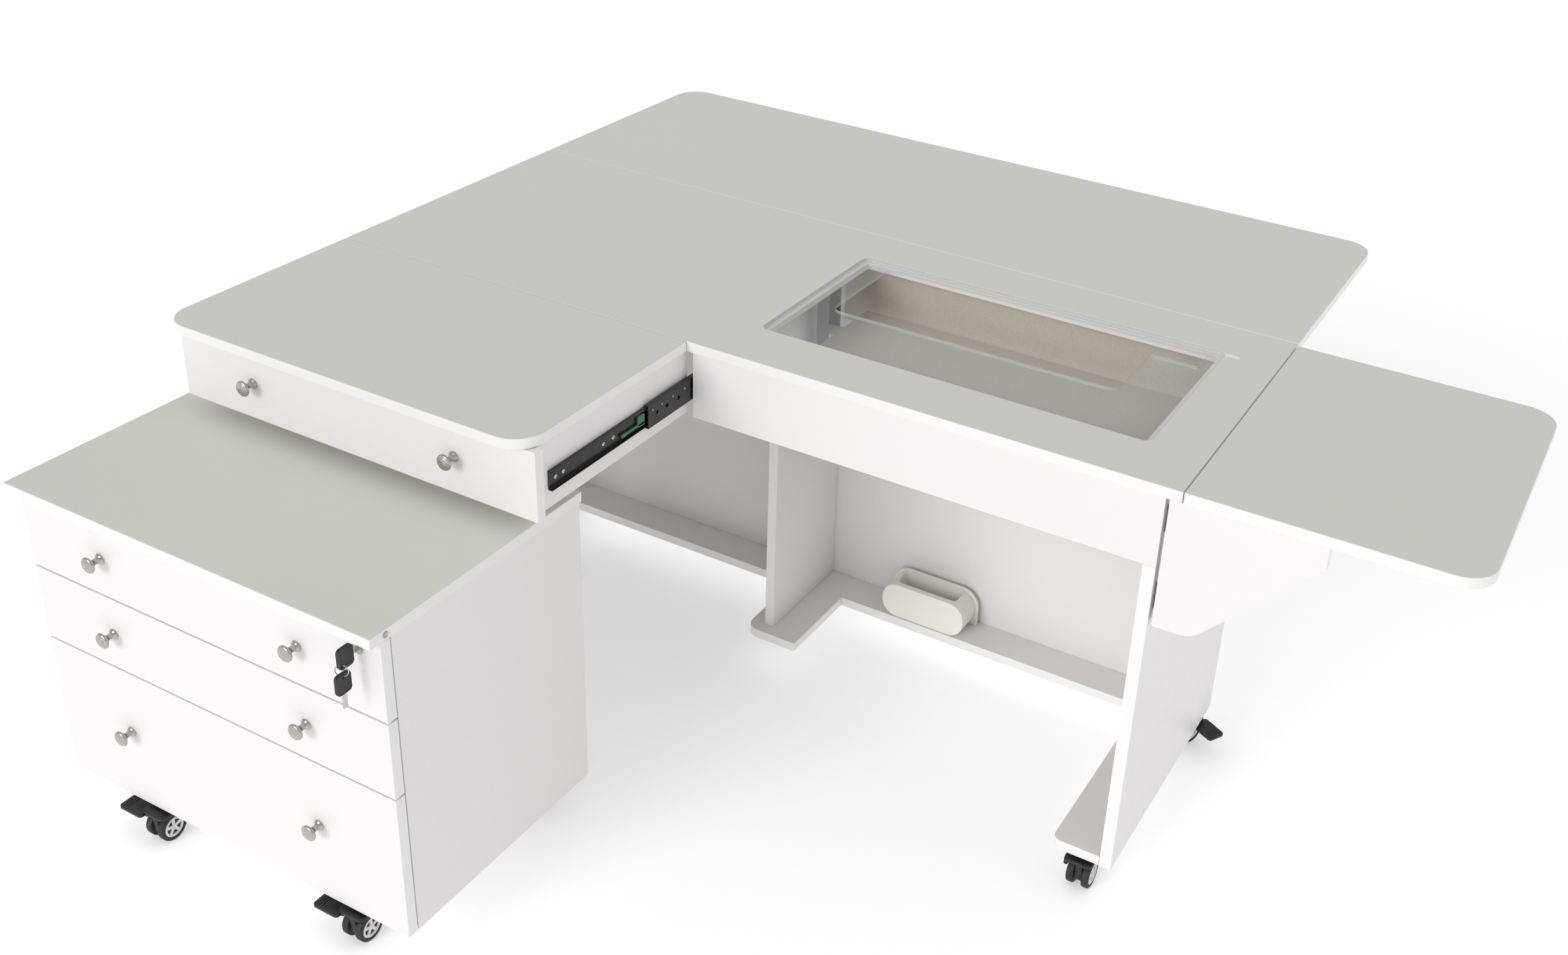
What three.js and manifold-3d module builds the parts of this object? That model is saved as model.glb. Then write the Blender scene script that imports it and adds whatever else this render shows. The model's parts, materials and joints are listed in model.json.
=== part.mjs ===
// Sewing table: a cabinet on casters with three folding leaves, a pull-out extension box, a machine
// lift under a clear insert, swing-out support wings and a loose three-drawer caddy.
// Millimetres, +Z up, floor at Z = 0. Inside the table group, X = 0 is the left end of the apron and
// Y = 0 is the front edge of the main top; the group is then moved so that its box stands on its centre.
import * as THREE from 'three';
import { mergeVertices } from 'three/addons/utils/BufferGeometryUtils.js';
import Module from 'manifold-3d';

const wasm = await Module();
wasm.setup();

// ---------------------------------------------------------------- driving dimensions
const TABLE_HEIGHT = 762;
const BOARD = 18; // thickness of every board
const FIT = 0.3; // clearance between boards that meet
const UNDERSIDE = TABLE_HEIGHT - BOARD; // underside of the top and the leaves
const BOARD_TOP = UNDERSIDE - FIT; // highest point of whatever carries the top

const TOP_LEFT = -722;
const TOP_RIGHT = 812;
const TOP_DEPTH = 555;
const LEAF_CORNER = 50; // radius of the leaves' outer corners

const REAR_LEAF_BACK = 1055;
const REAR_SEAM = 2;
const FRONT_LEAF_FRONT = -398;
const FRONT_LEAF_RIGHT = -8;
const FRONT_SEAM = 1.5;
const RIGHT_LEAF_EDGE = 1226;
const RIGHT_LEAF_DEPTH = 548;
const RIGHT_SEAM = 2;

const CABINET_FRONT = 5;
const CABINET_BACK = 485;
const CABINET_BASE = 60; // underside of the cabinet and of the caddy, on top of the casters
const SIDE_INNER = 768; // inner face of the right side panel
const SIDE_OUTER = 788;
const LEFT_INNER = TOP_LEFT + BOARD; // inner face of the left side panel
const APRON_BOTTOM = 626;
const PARTITION_FRONT = 243;
const FOOT = { width: 82, corner: 16 };
const MIDDLE_FOOT = { x0: -28, x1: 78, y0: 220, leftCorner: 26, rightCorner: 10 };
const STRETCHER_FRONT = 395;
const POCKET = { x0: 164, x1: 344, y0: 397, y1: 457, height: 76, wall: 8, corner: 34, side: 30 };

const OPENING = { x0: 70, x1: 714, y0: 117, y1: 447, corner: 14 };
const REBATE = 10; // ledge around the opening that carries the insert
const INSERT_THICKNESS = 6;
const MACHINE_CUT = { x0: 118, x1: 622, y0: 234, y1: 436, corner: 18 };
const CABLE_NOTCH = { x1: 700, y0: 382 };

const PLATFORM_TOP = 667;
const PLATFORM_THICKNESS = 16;
const LIFT_RAIL = { width: 22, depth: 44, wall: 3, bottom: 425 };
const LIFT_RAIL_Y = 340; // middle of the rails
const LIFT_LEFT = 44; // outer face of the left rail
const LIFT_RIGHT = 740; // outer face of the right rail
const LIFT_CROSS = 12; // height of the cross member
const RUNNER_DROP = 20; // how far the runners hang below the platform

const BOX_FRONT = -380; // front face of the extension box, pulled out
const BOX_LENGTH = 370;
const BOX_BOTTOM = 630;
const BOX_TOP = 743;
const BOX_LEFT = LEFT_INNER + 13;
const BOX_RIGHT = -13;
const BOX_FLOOR = 6;
const BOX_WALL = 16;
const BOX_KNOBS = { spread: 200, z: 690 }; // spread: distance of each knob from the middle
const PANEL_GAP = 2; // reveal around drawer fronts and the extension front

const SLIDE_MIDDLE_Z = 677;
const SLIDE_LENGTH = 350;
const SLIDE_OUTER_Y = 43;
const SLIDE_MIDDLE_Y = -112;
const SLIDE_INNER_Y = -342;
const SLIDE_WALL = 1.5;

const WING = { length: 230, drop: 213, nose: 36, foot: 62, thickness: 18, top: 742 };
const REAR_WING_LENGTH = 330;
const REAR_WING_HINGES = { left: -340, right: 430 };
const WING_PIN = 1; // distance from a folded wing to its pin

const CADDY = { x0: -744, x1: -31, y0: -687, y1: -244, top: 603 };
const CADDY_SIDE_LEFT = -741;
const CADDY_SIDE_RIGHT = -34;
const CADDY_FACE = -666; // front of the drawer fronts
const CADDY_BACK = -246;
const CADDY_BOARD = 16;
const DRAWERS = [
  { name: 'drawer_top', z0: 450, z1: 582, knob: 516 },
  { name: 'drawer_middle', z0: 318, z1: 447, knob: 382 },
  { name: 'drawer_bottom', z0: CABINET_BASE, z1: 315, knob: 198 },
];
const DRAWER_BOX_LENGTH = 370;
const DRAWER_WALL = 12;
const KNOB_SPREAD = 195;
const LOCK = { x: -76, z: 560, radius: 9.5, length: 24, proud: 2 };
const KEY = { blade: 9, thickness: 2.4, reach: 14, neck: 8 };
const KEY_HEAD = { length: 26, height: 32, thickness: 6, corner: 7 };

const WHEEL_RADIUS = 24;
const WHEEL_TREAD = 12; // width of each of the two treads
const WHEEL_GAP = 14; // distance between the two treads
const CASTER_TRAIL = 16;
const PLATE_HALF = 22;
const STEM_RADIUS = 10;
const PEDAL = { x: [22, 71], y: [10, 44], z: [42, 47] };
const AXLE_RADIUS = 3;
const HUB_RADIUS = 14;

// ---------------------------------------------------------------- finishes
const finish = (color, roughness, metalness = 0) => () =>
  new THREE.MeshStandardMaterial({ color, roughness, metalness });
const greyLaminate = finish(0xc5c5c0, 0.42);
const whiteMelamine = finish(0xf5f3f1, 0.5);
const shadedBoard = finish(0xddd8d0, 0.6);
const creamPlastic = finish(0xefece0, 0.45);
const satinNickel = finish(0xb9b6b0, 0.3, 1);
const blackSteel = finish(0x1c1c1d, 0.4, 0.7);
const blackPlastic = finish(0x161617, 0.5);
const greenPlastic = finish(0x3f7a4c, 0.45);
const clearAcrylic = finish(0xdfe9e6, 0.08);
const greyMetal = finish(0x9a9a98, 0.45, 0.8);
const wheelRubber = finish(0x1e1e20, 0.6);

// ---------------------------------------------------------------- making solids
const table = new THREE.Group();

/** Adds a named piece to a parent group. */
function addPiece(parent, name, geometry, material) {
  const mesh = new THREE.Mesh(geometry, material());
  mesh.name = name;
  parent.add(mesh);
}

/** A closed geometry as a solid for joining and cutting. */
function toSolid(geometry) {
  const bare = geometry.index ? geometry.toNonIndexed() : geometry.clone();
  bare.deleteAttribute('normal');
  bare.deleteAttribute('uv');
  const merged = mergeVertices(bare, 1e-4);
  const vertProperties = new Float32Array(merged.attributes.position.array);
  const triVerts = new Uint32Array(merged.index.array);
  return new wasm.Manifold(new wasm.Mesh({ numProp: 3, vertProperties, triVerts }));
}

/** A solid back as a geometry. */
function toGeometry(solid) {
  const mesh = solid.getMesh();
  const geometry = new THREE.BufferGeometry();
  geometry.setAttribute('position', new THREE.BufferAttribute(new Float32Array(mesh.vertProperties), 3));
  geometry.setIndex(new THREE.BufferAttribute(new Uint32Array(mesh.triVerts), 1));
  geometry.computeVertexNormals();
  return geometry;
}

/** Several geometries joined into one. */
function joined(...geometries) {
  return toGeometry(geometries.map(toSolid).reduce((sum, next) => sum.add(next)));
}

/** A geometry with others cut out of it. */
function cut(geometry, ...tools) {
  return toGeometry(tools.map(toSolid).reduce((rest, tool) => rest.subtract(tool), toSolid(geometry)));
}

/** A rectangular block between two corners. */
function block(x0, x1, y0, y1, z0, z1) {
  const geometry = new THREE.BoxGeometry(x1 - x0, y1 - y0, z1 - z0);
  return geometry.translate((x0 + x1) / 2, (y0 + y1) / 2, (z0 + z1) / 2);
}

/** An outline in X and Y, raised from z0 to z1. */
function raised(shape, z0, z1, curveSegments = 8) {
  const geometry = new THREE.ExtrudeGeometry(shape, { depth: z1 - z0, bevelEnabled: false, curveSegments });
  return geometry.translate(0, 0, z0);
}

/** An outline in Y and Z, carried from x0 to x1. */
function carriedAlongX(shape, x0, x1, curveSegments = 8) {
  const geometry = new THREE.ExtrudeGeometry(shape, { depth: x1 - x0, bevelEnabled: false, curveSegments });
  const axes = [new THREE.Vector3(0, 1, 0), new THREE.Vector3(0, 0, 1), new THREE.Vector3(1, 0, 0)];
  return geometry.applyMatrix4(new THREE.Matrix4().makeBasis(...axes)).translate(x0, 0, 0);
}

/** An outline in X and Z, carried from y0 to y1. */
function carriedAlongY(shape, y0, y1, curveSegments = 8) {
  const geometry = new THREE.ExtrudeGeometry(shape, { depth: y1 - y0, bevelEnabled: false, curveSegments });
  const axes = [new THREE.Vector3(1, 0, 0), new THREE.Vector3(0, 0, 1), new THREE.Vector3(0, -1, 0)];
  return geometry.applyMatrix4(new THREE.Matrix4().makeBasis(...axes)).translate(0, y1, 0);
}

/** A rectangle with a radius for each corner: front left, front right, back right, back left. */
function roundedRectangle(x0, x1, y0, y1, [frontLeft, frontRight, backRight, backLeft]) {
  const quarter = Math.PI / 2;
  const corners = [
    { x: x1, y: y0, radius: frontRight, inX: -1, inY: 1, start: -quarter },
    { x: x1, y: y1, radius: backRight, inX: -1, inY: -1, start: 0 },
    { x: x0, y: y1, radius: backLeft, inX: 1, inY: -1, start: quarter },
    { x: x0, y: y0, radius: frontLeft, inX: 1, inY: 1, start: 2 * quarter },
  ];
  const shape = new THREE.Shape();
  shape.moveTo(x0 + frontLeft, y0);
  for (const corner of corners) {
    const centreX = corner.x + corner.inX * corner.radius;
    const centreY = corner.y + corner.inY * corner.radius;
    if (corner.radius > 0) {
      shape.absarc(centreX, centreY, corner.radius, corner.start, corner.start + quarter, false);
    } else {
      shape.lineTo(corner.x, corner.y);
    }
  }
  return shape;
}

/** A straight-sided outline through a list of points. */
function outline(points) {
  return new THREE.Shape(points.map(([u, v]) => new THREE.Vector2(u, v)));
}

/** A round bar along one axis, centred on a point. */
function bar(axis, radius, length, centre, sides = 20) {
  const geometry = new THREE.CylinderGeometry(radius, radius, length, sides);
  if (axis === 'x') geometry.rotateZ(-Math.PI / 2);
  if (axis === 'z') geometry.rotateX(Math.PI / 2);
  return geometry.translate(...centre);
}

// ---------------------------------------------------------------- top, leaves and insert
function addTopAndLeaves() {
  const { x0, x1, y0, y1, corner } = OPENING;
  const slab = block(TOP_LEFT, TOP_RIGHT, 0, TOP_DEPTH, UNDERSIDE, TABLE_HEIGHT);
  const through = roundedRectangle(x0, x1, y0, y1, Array(4).fill(corner - REBATE));
  const ledge = [x0 - REBATE, x1 + REBATE, y0 - REBATE, y1 + REBATE];
  const rebate = roundedRectangle(...ledge, Array(4).fill(corner));
  const rebateFloor = TABLE_HEIGHT - INSERT_THICKNESS - FIT;
  const hole = raised(through, UNDERSIDE - 1, TABLE_HEIGHT + 1);
  const recess = raised(rebate, rebateFloor, TABLE_HEIGHT + 1);
  addPiece(table, 'main_top', cut(slab, hole, recess), greyLaminate);

  const rearLeaf = roundedRectangle(TOP_LEFT, TOP_RIGHT, TOP_DEPTH + REAR_SEAM, REAR_LEAF_BACK,
    [0, 0, LEAF_CORNER, LEAF_CORNER]);
  addPiece(table, 'rear_leaf', raised(rearLeaf, UNDERSIDE, TABLE_HEIGHT), greyLaminate);

  const frontLeaf = roundedRectangle(TOP_LEFT, FRONT_LEAF_RIGHT, FRONT_LEAF_FRONT, -FRONT_SEAM,
    [LEAF_CORNER, LEAF_CORNER, 0, 0]);
  addPiece(table, 'front_leaf', raised(frontLeaf, UNDERSIDE, TABLE_HEIGHT), greyLaminate);

  const rightLeaf = roundedRectangle(TOP_RIGHT + RIGHT_SEAM, RIGHT_LEAF_EDGE, 0, RIGHT_LEAF_DEPTH,
    [0, LEAF_CORNER, LEAF_CORNER, 0]);
  addPiece(table, 'right_leaf', raised(rightLeaf, UNDERSIDE, TABLE_HEIGHT), greyLaminate);

  // The insert is notched around the machine, and beside it at the back for the machine's leads.
  const insertFit = [ledge[0] + FIT, ledge[1] - FIT, ledge[2] + FIT, ledge[3] - FIT];
  const sheet = raised(roundedRectangle(...insertFit, Array(4).fill(corner)),
    TABLE_HEIGHT - INSERT_THICKNESS, TABLE_HEIGHT);
  const below = TABLE_HEIGHT - INSERT_THICKNESS - 1;
  const machine = roundedRectangle(MACHINE_CUT.x0, MACHINE_CUT.x1, MACHINE_CUT.y0, MACHINE_CUT.y1,
    Array(4).fill(MACHINE_CUT.corner));
  const notch = roundedRectangle(MACHINE_CUT.x1 - MACHINE_CUT.corner, CABLE_NOTCH.x1, CABLE_NOTCH.y0,
    MACHINE_CUT.y1, [0, 8, 8, 0]);
  const insert = cut(sheet, raised(machine, below, TABLE_HEIGHT + 1), raised(notch, below, TABLE_HEIGHT + 1));
  addPiece(table, 'machine_insert', insert, clearAcrylic);
}

// ---------------------------------------------------------------- cabinet
function addCabinet() {
  // The right side panel is notched so that the apron's end covers its front edge.
  const rightSide = outline([
    [CABINET_FRONT, CABINET_BASE],
    [CABINET_BACK, CABINET_BASE],
    [CABINET_BACK, BOARD_TOP],
    [CABINET_FRONT + BOARD + FIT, BOARD_TOP],
    [CABINET_FRONT + BOARD + FIT, APRON_BOTTOM - FIT],
    [CABINET_FRONT, APRON_BOTTOM - FIT],
  ]);
  addPiece(table, 'right_side_panel', carriedAlongX(rightSide, SIDE_INNER, SIDE_OUTER), whiteMelamine);
  const leftSide = block(TOP_LEFT, LEFT_INNER, CABINET_FRONT, CABINET_BACK, CABINET_BASE, BOARD_TOP);
  addPiece(table, 'left_side_panel', leftSide, whiteMelamine);
  const apron = block(0, SIDE_OUTER, CABINET_FRONT, CABINET_FRONT + BOARD, APRON_BOTTOM, BOARD_TOP);
  addPiece(table, 'apron', apron, whiteMelamine);

  const panelFront = CABINET_BACK - BOARD;
  const floorBoards = CABINET_BASE + BOARD;
  const back = block(LEFT_INNER + FIT, SIDE_INNER - FIT, panelFront, CABINET_BACK, CABINET_BASE, BOARD_TOP);
  addPiece(table, 'back_panel', back, whiteMelamine);

  // The partition is cut back at knee height and runs up to the apron above it.
  const partition = outline([
    [PARTITION_FRONT, floorBoards + FIT],
    [panelFront - FIT, floorBoards + FIT],
    [panelFront - FIT, BOARD_TOP],
    [CABINET_FRONT + BOARD + FIT, BOARD_TOP],
    [CABINET_FRONT + BOARD + FIT, APRON_BOTTOM],
    [PARTITION_FRONT, APRON_BOTTOM],
  ]);
  addPiece(table, 'middle_partition', carriedAlongX(partition, FIT, BOARD), whiteMelamine);

  const rightFoot = roundedRectangle(SIDE_INNER - FOOT.width, SIDE_INNER - FIT, CABINET_FRONT,
    panelFront - FIT, [FOOT.corner, 0, 0, 0]);
  addPiece(table, 'right_foot_plate', raised(rightFoot, CABINET_BASE, floorBoards), whiteMelamine);
  const leftFoot = roundedRectangle(LEFT_INNER + FIT, LEFT_INNER + FOOT.width, CABINET_FRONT,
    panelFront - FIT, [0, FOOT.corner, 0, 0]);
  addPiece(table, 'left_foot_plate', raised(leftFoot, CABINET_BASE, floorBoards), whiteMelamine);
  const middleFoot = roundedRectangle(MIDDLE_FOOT.x0, MIDDLE_FOOT.x1, MIDDLE_FOOT.y0, STRETCHER_FRONT - FIT,
    [MIDDLE_FOOT.leftCorner, MIDDLE_FOOT.rightCorner, 0, 0]);
  addPiece(table, 'middle_foot_plate', raised(middleFoot, CABINET_BASE, floorBoards), whiteMelamine);
  const stretcher = block(LEFT_INNER + FOOT.width + FIT, SIDE_INNER - FOOT.width - FIT,
    STRETCHER_FRONT, panelFront - FIT, CABINET_BASE, floorBoards);
  addPiece(table, 'back_stretcher', stretcher, whiteMelamine);

  // A stadium-fronted pocket stands on the stretcher, open at the top.
  const { x0, x1, y0, y1, height, wall, corner, side } = POCKET;
  const pocketBase = floorBoards + FIT;
  const pocketTop = pocketBase + height;
  const face = roundedRectangle(x0, x1, pocketBase, pocketTop, Array(4).fill(corner));
  const hollow = block(x0 + side, x1 - side, y0 + wall, y1 - wall, pocketBase + wall, pocketTop + 1);
  const pocketBody = cut(carriedAlongY(face, y0, y1), hollow);
  addPiece(table, 'accessory_pocket', pocketBody, creamPlastic);
}

// ---------------------------------------------------------------- machine lift
/** A vertical channel whose mouth faces along X: direction 1 opens to the right. */
function liftChannel(outerX, direction) {
  const { width, depth, wall, bottom } = LIFT_RAIL;
  const half = depth / 2;
  const far = outerX + direction * width;
  const web = outerX + direction * wall;
  const points = [
    [outerX, LIFT_RAIL_Y - half],
    [far, LIFT_RAIL_Y - half],
    [far, LIFT_RAIL_Y - half + wall],
    [web, LIFT_RAIL_Y - half + wall],
    [web, LIFT_RAIL_Y + half - wall],
    [far, LIFT_RAIL_Y + half - wall],
    [far, LIFT_RAIL_Y + half],
    [outerX, LIFT_RAIL_Y + half],
  ];
  return raised(outline(points), bottom, BOARD_TOP);
}

function addLift() {
  const { depth, wall, bottom } = LIFT_RAIL;
  const half = depth / 2;
  const crossDepth = [LIFT_RAIL_Y - half, LIFT_RAIL_Y + half];
  const cross = block(LIFT_LEFT, LIFT_RIGHT, ...crossDepth, bottom, bottom + LIFT_CROSS);
  const frame = joined(liftChannel(LIFT_LEFT, 1), liftChannel(LIFT_RIGHT, -1), cross);
  addPiece(table, 'lift_frame', frame, greyMetal);

  // The platform's ends hang on runners that ride inside the two channels.
  const platformBottom = PLATFORM_TOP - PLATFORM_THICKNESS;
  const inset = 5;
  const board = block(OPENING.x0 + inset, OPENING.x1 - inset, OPENING.y0 + inset, OPENING.y1 - inset,
    platformBottom, PLATFORM_TOP);
  const runnerHalf = half - wall - 1;
  const runnerTop = PLATFORM_TOP;
  const runnerBottom = platformBottom - RUNNER_DROP;
  const runnerDepth = [LIFT_RAIL_Y - runnerHalf, LIFT_RAIL_Y + runnerHalf];
  const left = block(LIFT_LEFT + wall + 1, OPENING.x0 + inset + 6, ...runnerDepth, runnerBottom, runnerTop);
  const right = block(OPENING.x1 - inset - 6, LIFT_RIGHT - wall - 1, ...runnerDepth, runnerBottom, runnerTop);
  addPiece(table, 'lift_platform', joined(board, left, right), shadedBoard);
}

// ---------------------------------------------------------------- support wings
/** A wing's outline: straight top, short upright nose, slanting lower edge, rounded foot. */
function wingOutline(length, drop, nose, foot) {
  const shape = new THREE.Shape();
  const start = 0.5;
  const round = 18;
  shape.moveTo(start, 0);
  shape.lineTo(start, -drop);
  shape.lineTo(foot - round, -drop);
  shape.quadraticCurveTo(foot + 4, -drop, foot + round, -drop + round);
  shape.lineTo(length, -nose);
  shape.lineTo(length, 0);
  return shape;
}

function addWings() {
  // The right wing stands out from the right side panel, under the right leaf.
  const { length, drop, nose, foot, thickness, top } = WING;
  const rightWing = carriedAlongY(wingOutline(length, drop, nose, foot), 0, thickness);
  rightWing.translate(SIDE_OUTER + WING_PIN, CABINET_FRONT, top);
  addPiece(table, 'right_wing', rightWing, whiteMelamine);

  // The rear wings lie folded on the back panel and swing out under the rear leaf.
  const foldedY = CABINET_BACK + WING_PIN + 1;
  const rearOutline = wingOutline(REAR_WING_LENGTH, drop, nose, foot);
  const leftWing = carriedAlongY(rearOutline, 0, thickness);
  leftWing.translate(REAR_WING_HINGES.left, foldedY, top);
  addPiece(table, 'rear_wing_left', leftWing, whiteMelamine);
  const rightRear = carriedAlongY(rearOutline, -thickness, 0).rotateZ(Math.PI);
  rightRear.translate(REAR_WING_HINGES.right, foldedY, top);
  addPiece(table, 'rear_wing_right', rightRear, whiteMelamine);
}

// ---------------------------------------------------------------- extension box
/** A drawer-like box with an open top: four walls and a floor. */
function openBox(x0, x1, y0, y1, z0, z1, wall, floor) {
  const outer = block(x0, x1, y0, y1, z0, z1);
  return cut(outer, block(x0 + wall, x1 - wall, y0 + wall, y1 - wall, z0 + floor, z1 + 1));
}

function addExtension() {
  const frontBottom = BOX_BOTTOM - PANEL_GAP;
  const front = block(LEFT_INNER + PANEL_GAP, -PANEL_GAP, BOX_FRONT, BOX_FRONT + BOARD, frontBottom, BOX_TOP);
  addPiece(table, 'extension_front', front, whiteMelamine);
  const boxFront = BOX_FRONT + BOARD + FIT;
  const box = openBox(BOX_LEFT, BOX_RIGHT, boxFront, boxFront + BOX_LENGTH, BOX_BOTTOM, BOX_TOP,
    BOX_WALL, BOX_FLOOR);
  addPiece(table, 'extension_box', box, whiteMelamine);
  const middle = LEFT_INNER / 2;
  addKnob('extension_knob_left', middle - BOX_KNOBS.spread, BOX_FRONT, BOX_KNOBS.z);
  addKnob('extension_knob_right', middle + BOX_KNOBS.spread, BOX_FRONT, BOX_KNOBS.z);
  addSlide('right', FIT, -1);
  addSlide('left', LEFT_INNER, 1);

  // The release lever lies in the right slide, just ahead of its middle member.
  const lever = { y0: SLIDE_MIDDLE_Y - 62, y1: SLIDE_MIDDLE_Y - 3, half: 4 };
  const thumb = { length: 14, half: 10 };
  const leverX = [BOX_RIGHT + 2.4, BOX_RIGHT + 6.4];
  const arm = block(...leverX, lever.y0, lever.y1, SLIDE_MIDDLE_Z - lever.half, SLIDE_MIDDLE_Z + lever.half);
  const tab = block(...leverX, lever.y1 - thumb.length, lever.y1,
    SLIDE_MIDDLE_Z - thumb.half, SLIDE_MIDDLE_Z + thumb.half);
  addPiece(table, 'slide_latch', joined(arm, tab), greenPlastic);
}

/** A thin channel along Y: its web stands at webX and its flanges reach out to flangeX. */
function slideChannel(webX, flangeX, half, y0) {
  const toward = Math.sign(flangeX - webX);
  const inner = webX + toward * SLIDE_WALL;
  const points = [
    [webX, -half],
    [flangeX, -half],
    [flangeX, -half + SLIDE_WALL],
    [inner, -half + SLIDE_WALL],
    [inner, half - SLIDE_WALL],
    [flangeX, half - SLIDE_WALL],
    [flangeX, half],
    [webX, half],
  ];
  return carriedAlongY(outline(points), y0, y0 + SLIDE_LENGTH).translate(0, 0, SLIDE_MIDDLE_Z);
}

/** The three members of one full-extension slide, from the cabinet wall inward. */
function addSlide(side, wallX, direction) {
  const at = (distance) => wallX + direction * distance;
  const outer = slideChannel(at(FIT), at(9.5), 22.5, SLIDE_OUTER_Y);
  addPiece(table, `slide_${side}_outer`, outer, blackSteel);
  const middle = slideChannel(at(FIT + 2.2), at(10.5), 20, SLIDE_MIDDLE_Y);
  addPiece(table, `slide_${side}_middle`, middle, blackSteel);
  const inner = slideChannel(at(12.6), at(5), 16, SLIDE_INNER_Y);
  addPiece(table, `slide_${side}_inner`, inner, blackSteel);
}

// ---------------------------------------------------------------- knobs
/** A mushroom knob standing out toward the front from a face at y. */
function addKnob(name, x, y, z) {
  const profile = [
    [0, 0],
    [8, 0],
    [8, 2],
    [4.5, 4],
    [4.5, 12],
    [12, 18],
    [13, 21],
    [10, 24],
    [0, 25.5],
  ].map(([radius, out]) => new THREE.Vector2(radius, out));
  const geometry = new THREE.LatheGeometry(profile, 16).rotateX(Math.PI);
  addPiece(table, name, geometry.translate(x, y - FIT, z), satinNickel);
}

// ---------------------------------------------------------------- caddy
function addCaddy() {
  const slab = block(CADDY.x0, CADDY.x1, CADDY.y0, CADDY.y1, CADDY.top - BOARD, CADDY.top);
  addPiece(table, 'caddy_top', slab, greyLaminate);

  const frontEdge = CADDY_FACE + BOARD + PANEL_GAP;
  const carcassTop = CADDY.top - BOARD - FIT;
  const outer = block(CADDY_SIDE_LEFT, CADDY_SIDE_RIGHT, frontEdge, CADDY_BACK, CABINET_BASE, carcassTop);
  const inside = block(CADDY_SIDE_LEFT + CADDY_BOARD, CADDY_SIDE_RIGHT - CADDY_BOARD, frontEdge - 1,
    CADDY_BACK - CADDY_BOARD, CABINET_BASE + CADDY_BOARD, carcassTop + 1);
  addPiece(table, 'caddy_carcass', cut(outer, inside), whiteMelamine);

  const middle = (CADDY_SIDE_LEFT + CADDY_SIDE_RIGHT) / 2;
  DRAWERS.forEach((drawer, index) => {
    addDrawer(drawer, index === 0);
    addKnob(`${drawer.name}_knob_left`, middle - KNOB_SPREAD, CADDY_FACE, drawer.knob);
    addKnob(`${drawer.name}_knob_right`, middle + KNOB_SPREAD, CADDY_FACE, drawer.knob);
  });
  addLockAndKey();
}

/** One drawer: its front and, behind it, a box that is open at the top. */
function addDrawer({ name, z0, z1 }, hasLock) {
  const front = block(CADDY_SIDE_LEFT, CADDY_SIDE_RIGHT, CADDY_FACE, CADDY_FACE + BOARD, z0, z1);
  const sideGap = 13;
  const x0 = CADDY_SIDE_LEFT + CADDY_BOARD + sideGap;
  const x1 = CADDY_SIDE_RIGHT - CADDY_BOARD - sideGap;
  const boxBack = CADDY_FACE + BOARD + DRAWER_BOX_LENGTH;
  const boxBase = Math.max(z0, CABINET_BASE + CADDY_BOARD) + 8;
  const boxTop = z1 - (hasLock ? 40 : 24);
  const overlap = 0.5;
  const box = openBox(x0, x1, CADDY_FACE + BOARD - overlap, boxBack, boxBase, boxTop, DRAWER_WALL, BOX_FLOOR);
  let drawer = joined(front, box);
  if (hasLock) {
    const hole = bar('y', LOCK.radius + FIT, 60, [LOCK.x, CADDY_FACE + BOARD / 2, LOCK.z], 24);
    drawer = cut(drawer, hole);
  }
  addPiece(table, name, drawer, whiteMelamine);
}

function addLockAndKey() {
  const faceY = CADDY_FACE - LOCK.proud;
  const barrel = bar('y', LOCK.radius, LOCK.length, [LOCK.x, faceY + LOCK.length / 2, LOCK.z], 24);
  const slotHalf = KEY.thickness / 2 + FIT;
  const slotReach = KEY.reach + 1;
  const slot = block(LOCK.x - slotHalf, LOCK.x + slotHalf, faceY - 1, faceY + slotReach,
    LOCK.z - KEY.blade / 2 - FIT, LOCK.z + KEY.blade / 2 + FIT);
  addPiece(table, 'drawer_lock', cut(barrel, slot), satinNickel);

  const half = KEY.thickness / 2;
  const blade = block(LOCK.x - half, LOCK.x + half, faceY - KEY.neck, faceY + KEY.reach,
    LOCK.z - KEY.blade / 2, LOCK.z + KEY.blade / 2);
  const headBottom = LOCK.z - KEY_HEAD.height / 2;
  const headOutline = roundedRectangle(faceY - KEY.neck - KEY_HEAD.length, faceY - KEY.neck + 1,
    headBottom, headBottom + KEY_HEAD.height, Array(4).fill(KEY_HEAD.corner));
  const head = carriedAlongX(headOutline, LOCK.x - KEY_HEAD.thickness / 2, LOCK.x + KEY_HEAD.thickness / 2);
  addPiece(table, 'drawer_key', joined(blade, head), blackPlastic);
}

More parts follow.
